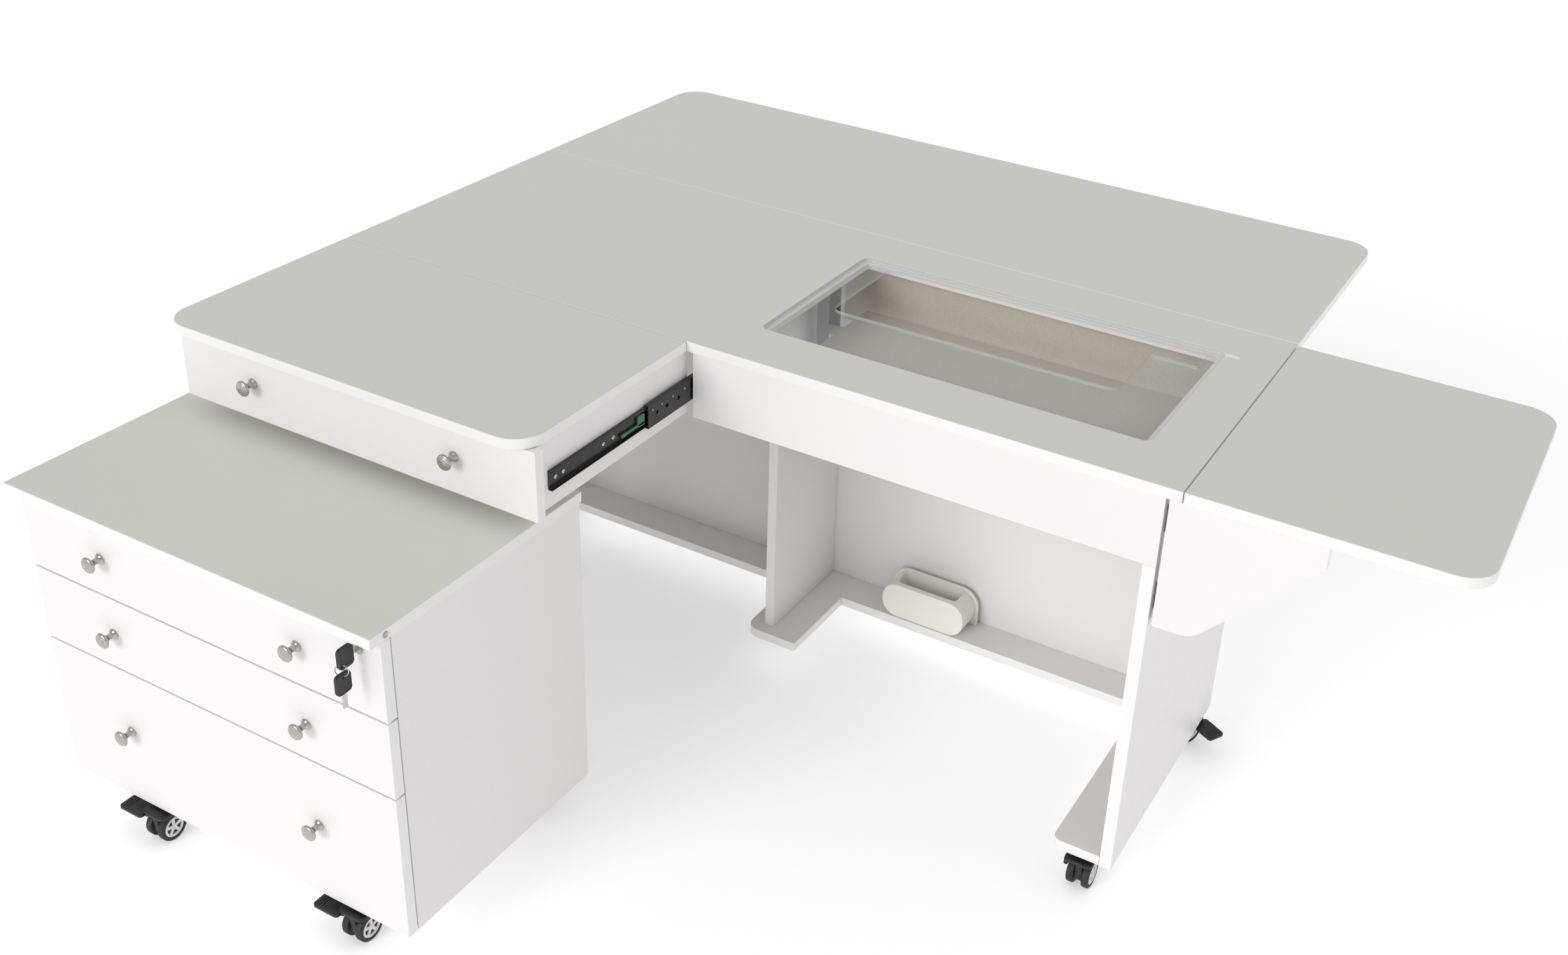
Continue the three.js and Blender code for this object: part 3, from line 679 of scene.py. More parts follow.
# ---------------------------------------------------------------- top, leaves and insert
@dataclass
class TopAndLeaves:
    """The grey work surface: main top, three folding leaves and the clear insert round the machine."""

    corner: float = 50
    corner_steps: int = 14
    ledge: float = 10
    fit: float = 0.3
    insert_corner: float = 14
    machine_x: Span = (118, 622)
    machine_y: Span = (234, 436)
    machine_corner: float = 18
    notch_x: Span = (600, 700)
    notch_y: Span = (382, 436)
    tab_x: Span = (724.6, 748)
    tab_y: Span = (443, 452)
    tab_rise: Span = (0.02, 0.22)
    cut_reach: float = 40
    hinge_x: Sequence[float] = (-640, -430, 45, 520, 740)
    plate_half: float = 28
    plate_y: Span = (2, 32)
    plate_drop: Span = (1.6, 0.1)
    plate_screw_x: Sequence[float] = (-18, 18)
    knuckle_radius: float = 2.6
    knuckle_split: float = 9
    knuckle_groove: float = 0.3

    def build(self) -> None:
        """Builds the whole work surface."""
        self.main_top()
        self.leaf("rear_leaf", 1, 1)
        self.leaf("front_leaf", 1, -1)
        self.leaf("right_leaf", 0, 1)
        self.insert()
        self.rear_hinges()

    def _surfaced(self, work: Workpiece, node: str) -> Workpiece:
        """Breaks the rims and lays laminate on the top face, banding on the edges, melamine below.

        Args:
            work: The board.
            node: The part that it stands for.

        Returns:
            The board.
        """
        work.softened(0.9)
        under: PlaceTest = lambda middle, normal: normal.z < -FACING
        return work.dressed(EDGE_BAND, (LAMINATE, upper_face(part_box(node)[1].z)), (MELAMINE, under))

    def main_top(self) -> None:
        """The fixed top, with its opening and the ledge that carries the insert."""
        low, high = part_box("machine_insert")
        gap = Vector((self.fit, self.fit, 0)) * MM
        step = Vector((self.ledge, self.ledge, 0)) * MM
        below = Vector((0, 0, self.cut_reach)) * MM
        recess = Workpiece.block("recess", low - gap - Vector((0, 0, self.fit * MM)), high + gap + below)
        recess.round_edges(2, self.insert_corner, 6)
        hole = Workpiece.block("hole", low - gap + step - below, high + gap - step + below)
        hole.round_edges(2, self.insert_corner - self.ledge, 4)
        work = board("main_top").cut(recess, hole)
        self._surfaced(work, "main_top").delivered("cabinet", Slot.LAMINATE, "main_top")

    def leaf(self, node: str, axis: int, side: int) -> None:
        """One leaf with two round outer corners.

        Args:
            node: The leaf's name.
            axis: The axis along which it reaches out.
            side: The end that is round, -1 or 1.
        """
        low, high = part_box(node)
        middle = (low[axis] + high[axis]) / 2
        work = board(node)
        outer: PlaceTest = lambda spot, way: (spot[axis] - middle) * side > 0
        work.round_edges(2, self.corner, self.corner_steps, outer)
        self._surfaced(work, node).delivered(body_of(node), Slot.LAMINATE, node)

    def insert(self) -> None:
        """The clear insert with its cut-out, and the small tab that keeps it down."""
        low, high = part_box("machine_insert")
        z = ((low.z - 0.02) / MM, (high.z + 0.02) / MM)
        machine = Workpiece.block_mm("machine", self.machine_x, self.machine_y, z)
        machine.round_edges(2, self.machine_corner, 6)
        notch = Workpiece.block_mm("notch", self.notch_x, self.notch_y, z)
        work = board("machine_insert").round_edges(2, self.insert_corner, 6).cut(machine, notch).softened(0.5)
        work.dressed(ACRYLIC, (ACRYLIC_EDGE, lambda middle, normal: abs(normal.z) < FACING))
        work.delivered("machine_insert", Slot.ACRYLIC, "machine_insert")
        top = high.z / MM
        tab_z = (top + self.tab_rise[0], top + self.tab_rise[1])
        tab = Workpiece.block_mm("insert_tab", self.tab_x, self.tab_y, tab_z).softened(0.06)
        tab.dressed(WHITE_PLASTIC).delivered("cabinet", Slot.MELAMINE)

    def rear_hinges(self) -> None:
        """Butt hinges under the seam of the rear leaf."""
        joint = next(joint for joint in frame["joints"] if joint["name"] == "rear_leaf_drop")
        seam, pin_height = (joint["pos_m"][1] - HOME.y) / MM, joint["pos_m"][2] / MM
        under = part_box("rear_leaf")[0].z / MM
        half, (near, far), (bottom, top) = self.plate_half, self.plate_y, self.plate_drop
        rings = knuckle_rings(self.knuckle_radius, half, self.knuckle_split, self.knuckle_groove)
        for number, x in enumerate(self.hinge_x, start=1):
            plates = {"cabinet": (seam - far, seam - near), "rear_leaf": (seam + near, seam + far)}
            for body, deep in plates.items():
                name = f"rear_hinge_{number}_{body}_plate"
                plate = Workpiece.block_mm(name, (x - half, x + half), deep, (under - bottom, under - top))
                plate.softened(0.3)
                screws = [screw_head(f"{name}_screw", at(x + dx, sum(deep) / 2, under - bottom), Way.DOWN, 3)
                          for dx in self.plate_screw_x]
                plate.with_parts(*screws).dressed(NICKEL).delivered(body, Slot.NICKEL)
            place = at(x, seam, pin_height)
            knuckle = Workpiece.turned(f"rear_hinge_{number}_knuckle", rings, place, Way.RIGHT, 16)
            knuckle.dressed(NICKEL).delivered("rear_leaf", Slot.NICKEL, smooth=40)


# ---------------------------------------------------------------- cabinet
@dataclass
class Cabinet:
    """The white carcass: side panels, partition, back, apron, feet, stretcher and accessory pocket."""

    foot_corner: float = 16
    middle_corner: float = 26
    pocket_slot: float = 9
    pocket_corner: float = 31
    pocket_trim: float = 12
    pocket_end: float = 24
    pocket_wall: float = 12
    cavity_corner: float = 8
    back_thickness: float = 6
    back_overhang: float = 5
    back_rise: float = 4
    cap_rings: Sequence[Span] = ((6.0, 0.0), (6.0, 0.5), (5.4, 1.0), (1.2, 1.2))
    back_caps_x: Sequence[float] = (-690, -350, 9, 390, 758)
    back_caps_z: Sequence[float] = (110, 400, 700)
    side_caps_y: Sequence[float] = (150, 420)
    side_caps_z: Sequence[float] = (69, 476)

    def build(self) -> None:
        """Builds the carcass."""
        for node in ("right_side_panel", "middle_partition"):
            work = Workpiece.from_design(f"{node}_board", node).softened(0.8)
            work.dressed(MELAMINE, (EDGE_BAND, narrow_edge(0))).delivered("cabinet", Slot.MELAMINE, node)
        for node, across in (("left_side_panel", 0), ("apron", 1), ("back_panel", 1), ("back_stretcher", 2)):
            work = board(node).softened(0.8)
            work.dressed(MELAMINE, (EDGE_BAND, narrow_edge(across))).delivered("cabinet", Slot.MELAMINE, node)
        self.foot("right_foot_plate", -1, self.foot_corner)
        self.foot("left_foot_plate", 1, self.foot_corner)
        self.foot("middle_foot_plate", -1, self.middle_corner)
        self.pocket()
        self.cover_caps()

    def foot(self, node: str, side: int, radius: float) -> None:
        """A foot plate with one round front corner.

        Args:
            node: The plate's name.
            side: -1 if its left corner is round, 1 if its right corner is.
            radius: The corner's radius.
        """
        low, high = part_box(node)
        middle = (low + high) / 2
        work = board(node)
        work.round_edges(2, radius, 8, lambda spot, way: (spot.x - middle.x) * side > 0 and spot.y < middle.y)
        work.softened(1.0).dressed(MELAMINE, (EDGE_BAND, narrow_edge(2)))
        work.delivered("cabinet", Slot.MELAMINE, node)

    def pocket(self) -> None:
        """The moulded pocket: a stadium-shaped body with a slot, in front of a larger back plate."""
        low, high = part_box("accessory_pocket")
        high -= Vector((self.pocket_trim, 0, self.pocket_trim / 2)) * MM
        end = Vector((self.pocket_end, 0, 0)) * MM
        split = high.y - self.back_thickness * MM
        front = Workpiece.block("accessory_pocket_front", low, Vector((high.x, split, high.z)))
        front.round_edges(1, self.pocket_corner, 12)
        slot_low = Vector((low.x, low.y + self.pocket_wall * MM, low.z + self.pocket_slot * MM)) + end
        slot_high = Vector((high.x, split - 2 * MM, high.z + 10 * MM)) - end
        cavity = Workpiece.block("cavity", slot_low, slot_high).round_edges(2, self.cavity_corner, 4)
        front.cut(cavity).softened(2.5, 4).dressed(CREAM)
        front.delivered("cabinet", Slot.CREAM, "accessory_pocket", smooth=30)
        grow = Vector((self.back_overhang, 0, 0)) * MM
        back_low = Vector((low.x, split + 0.2 * MM, low.z)) - grow
        back_high = Vector((high.x, high.y, high.z + self.back_rise * MM)) + grow
        back = Workpiece.block("accessory_pocket_back", back_low, back_high)
        upper: PlaceTest = lambda spot, way: spot.z > low.z + 20 * MM
        back.round_edges(1, self.pocket_corner + self.back_overhang, 12, upper)
        back.softened(1.2, 3).dressed(CREAM).delivered("cabinet", Slot.CREAM, smooth=30)

    def cover_caps(self) -> None:
        """White caps over the screws that hold the back panel and the right side panel."""
        back = (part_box("back_panel")[1].y - HOME.y) / MM
        side = (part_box("right_side_panel")[1].x - HOME.x) / MM
        spots = [(at(x, back, z), Way.BACK) for x in self.back_caps_x for z in self.back_caps_z]
        spots += [(at(side, y, z), Way.RIGHT) for y in self.side_caps_y for z in self.side_caps_z]
        for number, (place, way) in enumerate(spots, start=1):
            work = Workpiece.turned(f"cover_cap_{number}", self.cap_rings, place, way, 20)
            work.dressed(WHITE_PLASTIC).delivered("cabinet", Slot.MELAMINE)


# ---------------------------------------------------------------- machine lift
@dataclass
class MachineLift:
    """The steel frame, its bolts and the platform that carries the machine."""

    bolt_rise: Sequence[float] = (270, 300)
    bolt_seat: float = 3.0
    bolt_rings: Sequence[Span] = ((5.5, -0.2), (5.5, 3.2), (4.6, 4.0), (1.0, 4.0))
    # Sizes of the beige sheets that paint the shade inside the well.
    well_shade_height: float = 118
    well_shade_thickness: float = 1.6
    well_shade_end: float = 3

    def build(self) -> None:
        """Builds the lift."""
        self.paint_well_shade()
        rails = Workpiece.from_design("lift_frame_rails", "lift_frame").softened(0.6)
        rails.dressed(LIFT_STEEL).delivered("cabinet", Slot.LIFT_STEEL, "lift_frame")
        low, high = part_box("lift_frame")
        middle = (low.y + high.y) / 2
        for side, x, way in (("left", low.x, Way.RIGHT), ("right", high.x, Way.LEFT)):
            for number, rise in enumerate(self.bolt_rise, start=1):
                step = self.bolt_seat * MM * way.value[0]
                place = Vector((x + step, middle, low.z + rise * MM))
                bolt = Workpiece.turned(f"lift_bolt_{side}_{number}", self.bolt_rings, place, way, 6)
                bolt.dressed(BRIGHT_STEEL).delivered("cabinet", Slot.LIFT_STEEL)
        platform = Workpiece.from_design("lift_platform_board", "lift_platform").softened(0.8)
        platform.dressed(PLATFORM, (EDGE_BAND, narrow_edge(2)))
        platform.delivered("lift_platform", Slot.PLATFORM, "lift_platform")

    def paint_well_shade(self) -> None:
        """Thin beige sheets at the back and the right of the well: painted shade that darkens the well's shadowed
        inside.
        """
        back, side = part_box("back_panel")[0].y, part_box("right_side_panel")[0].x
        left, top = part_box("middle_partition")[1].x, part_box("lift_frame")[1].z
        near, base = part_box("apron")[1].y, top - self.well_shade_height * MM
        inner, outer, end = self.well_shade_thickness * MM, 0.2 * MM, self.well_shade_end * MM
        sheets = {
            "back": ((left + MM, back - inner, base), (side - end, back - outer, top)),
            "right": ((side - inner, near + MM, base), (side - outer, back - end, top)),
        }
        # Painted shade: these beige sheets stand for the shadow that falls inside the well, not for a real lining.
        for place, (low, high) in sheets.items():
            sheet = Workpiece.block(f"well_lining_{place}", Vector(low), Vector(high)).softened(0.3)
            sheet.dressed(PLATFORM).delivered("cabinet", Slot.PLATFORM)


# ---------------------------------------------------------------- support wings
@dataclass
class Wings:
    """The swinging boards that carry the leaves, and their hinges."""

    hinge_heights: Sequence[float] = (570, 700)
    knuckle_radius: float = 2.4
    knuckle_half: float = 22
    knuckle_split: float = 7
    knuckle_groove: float = 0.4
    gap: float = 4
    trim_margin: float = 10

    def build(self) -> None:
        """Builds the three wings and their hinges."""
        self.hinge_strip_and_gap_shade()
        for node in ("right_wing", "rear_wing_left", "rear_wing_right"):
            work = Workpiece.from_design(f"{node}_board", node)
            if node == "right_wing":
                low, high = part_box(node)
                margin = Vector((0, self.trim_margin, self.trim_margin)) * MM
                trim_high = Vector((low.x + self.gap * MM, high.y, high.z)) + margin
                work.cut(Workpiece.block("trim", low - margin - Vector((MM, 0, 0)), trim_high))
            work.softened(0.8)
            work.dressed(MELAMINE, (EDGE_BAND, narrow_edge(1))).delivered(node, Slot.MELAMINE, node)
        for joint in frame["joints"]:
            if joint["name"].endswith("_swing"):
                self.hinges(joint)

    def hinge_strip_and_gap_shade(self) -> None:
        """The hinge strip in the gap beside the right wing, coloured near black as painted shade of the gap."""
        low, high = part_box("right_wing")
        strip_low = Vector((low.x + 0.2 * MM, high.y - 3 * MM, low.z + 2 * MM))
        strip_high = Vector((low.x + (self.gap + 1) * MM, high.y - MM, high.z - 3 * MM))
        strip = Workpiece.block("right_wing_hinge_and_gap_shade", strip_low, strip_high)
        # Near-black finish: painted shade of the gap, laid on the hinge strip.
        strip.softened(0.3).dressed(HINGE_AND_GAP_SHADE).delivered("right_wing", Slot.SLIDE_STEEL)

    def hinges(self, joint: dict) -> None:
        """Two knuckles on the axis of a wing.

        Args:
            joint: The wing's joint.
        """
        pin_x, pin_y, _ = joint["pos_m"]
        rings = knuckle_rings(self.knuckle_radius, self.knuckle_half, self.knuckle_split, self.knuckle_groove)
        for number, height in enumerate(self.hinge_heights, start=1):
            name = f"{joint['child']}_knuckle_{number}"
            work = Workpiece.turned(name, rings, Vector((pin_x, pin_y, height * MM)), Way.UP, 16)
            work.dressed(NICKEL).delivered(joint["child"], Slot.NICKEL, smooth=40)


# ---------------------------------------------------------------- knobs
@dataclass
class Knob:
    """A satin mushroom knob on a small rose."""

    node: str
    rings: Sequence[Span] = ((8.6, 0), (8.8, 0.8), (8.2, 1.8), (6.2, 3.0), (4.9, 4.6), (4.5, 7.0),
                             (4.5, 10.0), (5.2, 12.6), (7.8, 15.4), (11.2, 17.6), (12.8, 19.2), (13.0, 20.6),
                             (12.4, 22.0), (10.6, 23.2), (9.6, 23.1), (8.8, 23.6), (5.4, 24.9), (1.0, 25.4))

    def build(self) -> None:
        """Builds the knob over its part of the design."""
        low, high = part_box(self.node)
        place = Vector(((low.x + high.x) / 2, high.y, (low.z + high.z) / 2))
        work = Workpiece.turned(f"{self.node}_turned", self.rings, place, Way.FRONT, 40)
        work.dressed(NICKEL).delivered(body_of(self.node), Slot.NICKEL, self.node, smooth=40)


# ---------------------------------------------------------------- extension box
@dataclass
class Extension:
    """The box that pulls out under the front leaf, on black full-extension slides."""

    wall: float = 16
    floor: float = 6
    slide_z: float = 677
    inner_screws: Sequence[float] = (-327, -309, -214, -190)
    middle_holes: Sequence[float] = (-88, -62, -30)
    hole_rings: Sequence[Span] = ((3.2, 0), (3.2, 14))
    web: float = 1.5
    rivets: Sequence[float] = (-100, -76, -46, -14)
    rivet_rise: float = 9
    rivet_rings: Sequence[Span] = ((1.6, -0.6), (1.6, 0.2), (1.2, 0.5), (0.3, 0.6))

    def build(self) -> None:
        """Builds the box, its knobs, slides and latch."""
        front = board("extension_front").softened(0.9)
        front.dressed(MELAMINE, (EDGE_BAND, narrow_edge(1)))
        front.delivered("extension", Slot.MELAMINE, "extension_front")
        box = board("extension_box").hollowed(Way.UP, self.wall, self.floor).softened(0.8)
        box.dressed(MELAMINE, (EDGE_BAND, lambda middle, normal: normal.z > FACING))
        box.delivered("extension", Slot.MELAMINE, "extension_box")
        for side in ("left", "right"):
            Knob(f"extension_knob_{side}").build()
            self.slide(side)
        self.latch()

    def latch(self) -> None:
        """The green release lever: a pad, a thin arm and an upright tab."""
        low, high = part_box("slide_latch")
        x = ((low.x - HOME.x) / MM, (high.x - HOME.x) / MM)
        y, z = (low.y - HOME.y) / MM, low.z / MM
        arm = Workpiece.block_mm("slide_latch_lever", x, (y + 12, y + 58), (z + 2, z + 6))
        pad = Workpiece.block_mm("pad", x, (y, y + 14), (z + 1, z + 7)).round_edges(0, 2, 4)
        tab = Workpiece.block_mm("tab", x, (y + 42, y + 59), (z, z + 20)).round_edges(0, 3, 4)
        arm.with_parts(pad, tab).softened(0.5).dressed(LATCH)
        arm.delivered("slide_latch", Slot.LATCH, "slide_latch")

    def slide(self, side: str) -> None:
        """One slide: three members with their screws and rivets.

        Args:
            side: left or right.
        """
        way = Way.RIGHT if side == "right" else Way.LEFT
        sign = way.value[0]
        for member, holes in (("outer", ()), ("middle", self.middle_holes), ("inner", ())):
            node = f"slide_{side}_{member}"
            low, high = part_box(node)
            work = Workpiece.from_design(f"{node}_rail", node)
            for y in holes:
                place = Vector((low.x - MM, at(0, y, 0).y, self.slide_z * MM))
                work.cut(Workpiece.turned("drill", self.hole_rings, place, Way.RIGHT, 16))
            work.softened(0.4).dressed(SLIDE_STEEL).delivered(body_of(node), Slot.SLIDE_STEEL, node)
        low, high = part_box(f"slide_{side}_inner")
        web = low.x + self.web * MM if side == "right" else high.x - self.web * MM
        for number, y in enumerate(self.inner_screws, start=1):
            place = Vector((web, at(0, y, 0).y, self.slide_z * MM))
            screw = screw_head(f"slide_{side}_screw_{number}", place, way, 3.6)
            screw.dressed(BRIGHT_STEEL).delivered("extension", Slot.SLIDE_STEEL)
        low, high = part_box(f"slide_{side}_middle")
        face = high.x if side == "right" else low.x
        for number, y in enumerate(self.rivets, start=1):
            place = Vector((face, at(0, y, 0).y, (self.slide_z + self.rivet_rise * sign) * MM))
            rivet = Workpiece.turned(f"slide_{side}_rivet_{number}", self.rivet_rings, place, way, 12)
            rivet.dressed(BRIGHT_STEEL).delivered(f"slide_{side}_middle", Slot.SLIDE_STEEL)


# ---------------------------------------------------------------- caddy
@dataclass
class Caddy:
    """The rolling caddy: grey slab, white body and three drawers on steel runners."""

    board_wall: float = 16
    drawer_wall: float = 12
    floor: float = 6
    front_thickness: float = 18
    side_gap: float = 13
    cap_y: float = -658
    cap_z: float = 594
    lock_x: float = -76
    lock_z: float = 560
    lock_bore: Sequence[Span] = ((9.8, 0), (9.8, 60))
    cap_rings: Sequence[Span] = ((5.0, -0.1), (5.0, 0.5), (4.2, 1.0), (3.2, 0.4), (0.8, 0.4))
    box_rise: float = 8
    box_drop: float = 24
    lock_drop: float = 40
    runner_half: float = 17
    rail_span: Span = (0.4, 5.8)
    runner_span: Span = (6.6, 12.7)

    def build(self) -> None:
        """Builds the caddy."""
        slab = board("caddy_top").softened(0.9)
        slab.dressed(EDGE_BAND, (LAMINATE, upper_face(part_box("caddy_top")[1].z)))
        slab.delivered("caddy", Slot.LAMINATE, "caddy_top")
        body = board("caddy_carcass").hollowed(Way.FRONT, self.board_wall, self.board_wall).softened(0.8)
        body.dressed(MELAMINE, (EDGE_BAND, lambda middle, normal: normal.y < -FACING))
        body.delivered("caddy", Slot.MELAMINE, "caddy_carcass")
        for name in ("drawer_top", "drawer_middle", "drawer_bottom"):
            self.drawer(name)
        side = (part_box("caddy_top")[1].x - HOME.x) / MM
        work = Workpiece.turned("caddy_cap", self.cap_rings, at(side, self.cap_y, self.cap_z), Way.RIGHT, 24)
        work.dressed(NICKEL).delivered("caddy", Slot.NICKEL, smooth=40)

    def drawer(self, node: str) -> None:
        """One drawer: its front, the box behind it, its runners and knobs.

        Args:
            node: The drawer's name.
        """
        low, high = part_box(node)
        face_back = low.y + self.front_thickness * MM
        front = Workpiece.block(f"{node}_front", low, Vector((high.x, face_back, high.z)))
        has_lock = node == "drawer_top"
        if has_lock:
            place = at(self.lock_x, 0, self.lock_z)
            place.y = low.y - 10 * MM
            front.cut(Workpiece.turned("drill", self.lock_bore, place, Way.BACK, 32))
        front.softened(0.9).dressed(MELAMINE, (EDGE_BAND, narrow_edge(1)))
        front.delivered(node, Slot.MELAMINE, node)
        inset = (self.board_wall + self.side_gap) * MM
        base = max(low.z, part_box("caddy_carcass")[0].z + self.board_wall * MM) + self.box_rise * MM
        box_top = high.z - (self.lock_drop if has_lock else self.box_drop) * MM
        box = Workpiece.block(f"{node}_box", Vector((low.x + inset, face_back + 0.2 * MM, base)),
                              Vector((high.x - inset, high.y, box_top)))
        box.hollowed(Way.UP, self.drawer_wall, self.floor).softened(0.7)
        rim: PlaceTest = lambda middle, normal: normal.z > FACING
        box.dressed(MELAMINE, (EDGE_BAND, rim)).delivered(node, Slot.MELAMINE)
        self.runners(node, (base + box_top) / 2)
        for side in ("left", "right"):
            Knob(f"{node}_knob_{side}").build()

    def runners(self, node: str, height: float) -> None:
        """The steel runners at both sides of a drawer.

        Args:
            node: The drawer's name.
            height: Middle of the runners.
        """
        low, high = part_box(node)
        half = Vector((0, 0, self.runner_half * MM))
        start = low.y + (self.front_thickness + 4) * MM
        end = high.y - 2 * MM
        wall = self.board_wall * MM
        members = (("rail", "caddy", self.rail_span), ("runner", node, self.runner_span))
        for side, wall_x, sign in (("left", low.x + wall, 1), ("right", high.x - wall, -1)):
            for part, body, (near, far) in members:
                xs = sorted((wall_x + sign * near * MM, wall_x + sign * far * MM))
                work = Workpiece.block(f"{node}_{part}_{side}", Vector((xs[0], start, height)) - half,
                                       Vector((xs[1], end, height)) + half)
                opening = Way.RIGHT if (sign > 0) == (part == "rail") else Way.LEFT
                work.hollowed(opening, 2.0, 1.4).softened(0.4).dressed(BRIGHT_STEEL)
                work.delivered(body, Slot.SLIDE_STEEL)


@dataclass
class LockAndKeys:
    """The cylinder lock of the top drawer, its key, and the spare key on a split ring."""

    head: tuple[float, float, float] = (6, 26, 32)
    blade: tuple[float, float] = (2.4, 8)
    ring_radius: float = 9
    wire: float = 0.8
    barrel_rings: Sequence[Span] = ((8.6, 0.0), (9.4, 0.3), (9.4, 20.5), (10.6, 20.7), (10.6, 21.8),
                                    (9.8, 22.6), (8.0, 22.6), (7.6, 22.1), (1.6, 22.1))
    slot_reach: tuple[float, float, float] = (1.6, 9, 4.8)

    def build(self) -> None:
        """Builds the lock, the keys and the ring."""
        low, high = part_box("drawer_lock")
        centre = (low + high) / 2
        foot = Vector((centre.x, high.y, centre.z))
        barrel = Workpiece.turned("drawer_lock_barrel", self.barrel_rings, foot, Way.FRONT, 40)
        reach = Vector(self.slot_reach) * MM
        slot = Workpiece.block("slot", Vector((centre.x, low.y, centre.z)) - reach,
                               Vector((centre.x, low.y, centre.z)) + reach)
        barrel.cut(slot).dressed(NICKEL).delivered("drawer_lock", Slot.NICKEL, "drawer_lock")

        low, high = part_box("drawer_key")
        thick, length, height = (size * MM for size in self.head)
        middle = Vector(((low.x + high.x) / 2, low.y + length / 2, (low.z + high.z) / 2))
        key = self.key_head("drawer_key_head", middle, Vector((thick, length, height)), Vector((0, -1, 0)))
        key.delivered("drawer_lock", Slot.BLACK_PLASTIC, "drawer_key")
        half = Vector((self.blade[0], 0, self.blade[1])) * MM / 2
        start = Vector((middle.x, middle.y + length / 2 - 2 * MM, middle.z))
        blade = Workpiece.block("drawer_key_blade", start - half, Vector((middle.x, high.y, middle.z)) + half)
        blade.softened(0.4).dressed(BRIGHT_STEEL).delivered("drawer_lock", Slot.NICKEL)

        hook = Vector((middle.x, middle.y - length / 2 + 5 * MM, middle.z - height / 2 + 7 * MM))
        loop = Workpiece.ring("key_ring", hook - Vector((0, 0, self.ring_radius * MM)), (math.pi / 2, 0, 0.5),
                              self.ring_radius, self.wire)
        loop.dressed(BRIGHT_STEEL).delivered("drawer_lock", Slot.NICKEL, smooth=50)
        spare = hook - Vector((0, 0, 2 * self.ring_radius * MM + height / 2 - 5 * MM))
        size = Vector((thick, length, height))
        spare_key = self.key_head("spare_key_head", spare, size, Vector((0, 0, 1)))
        spare_key.delivered("drawer_lock", Slot.BLACK_PLASTIC)
        along = Vector((self.blade[0] / 2, self.blade[1] / 2, 0)) * MM
        top = Vector((spare.x, spare.y, spare.z - height / 2 + 2 * MM))
        shank = Workpiece.block("spare_key_blade", top - along - Vector((0, 0, 26 * MM)), top + along)
        shank.softened(0.4).dressed(BRIGHT_STEEL).delivered("drawer_lock", Slot.NICKEL)

    def key_head(self, name: str, middle: Vector, size: Vector, toward: Vector) -> Workpiece:
        """A moulded key head with cut corners, a pressed panel and a hole for the ring.

        Args:
            name: The piece's name.
            middle: Its middle.
            size: Its thickness, width and height.
            toward: The way from its middle to the hole.

        Returns:
            The workpiece.
        """
        work = Workpiece.block(name, middle - size / 2, middle + size / 2).round_edges(0, 6, 5)
        with work.editing():
            work.pick_faces(lambda spot, normal: abs(normal.x) > 0.9)
            bpy.ops.mesh.inset(thickness=2.5 * MM, depth=-0.5 * MM, use_individual=True)
        reach = size.y / 2 - 5 * MM if abs(toward.y) > 0 else size.z / 2 - 6 * MM
        place = middle + toward * reach - Vector((20 * MM, 0, 0))
        if abs(toward.y) > 0:
            place.z -= size.z / 2 - 7 * MM
        hole = Workpiece.turned("drill", [(2.4, 0), (2.4, 40)], place, Way.RIGHT, 16)
        return work.cut(hole).softened(0.6).dressed(BLACK_PLASTIC)


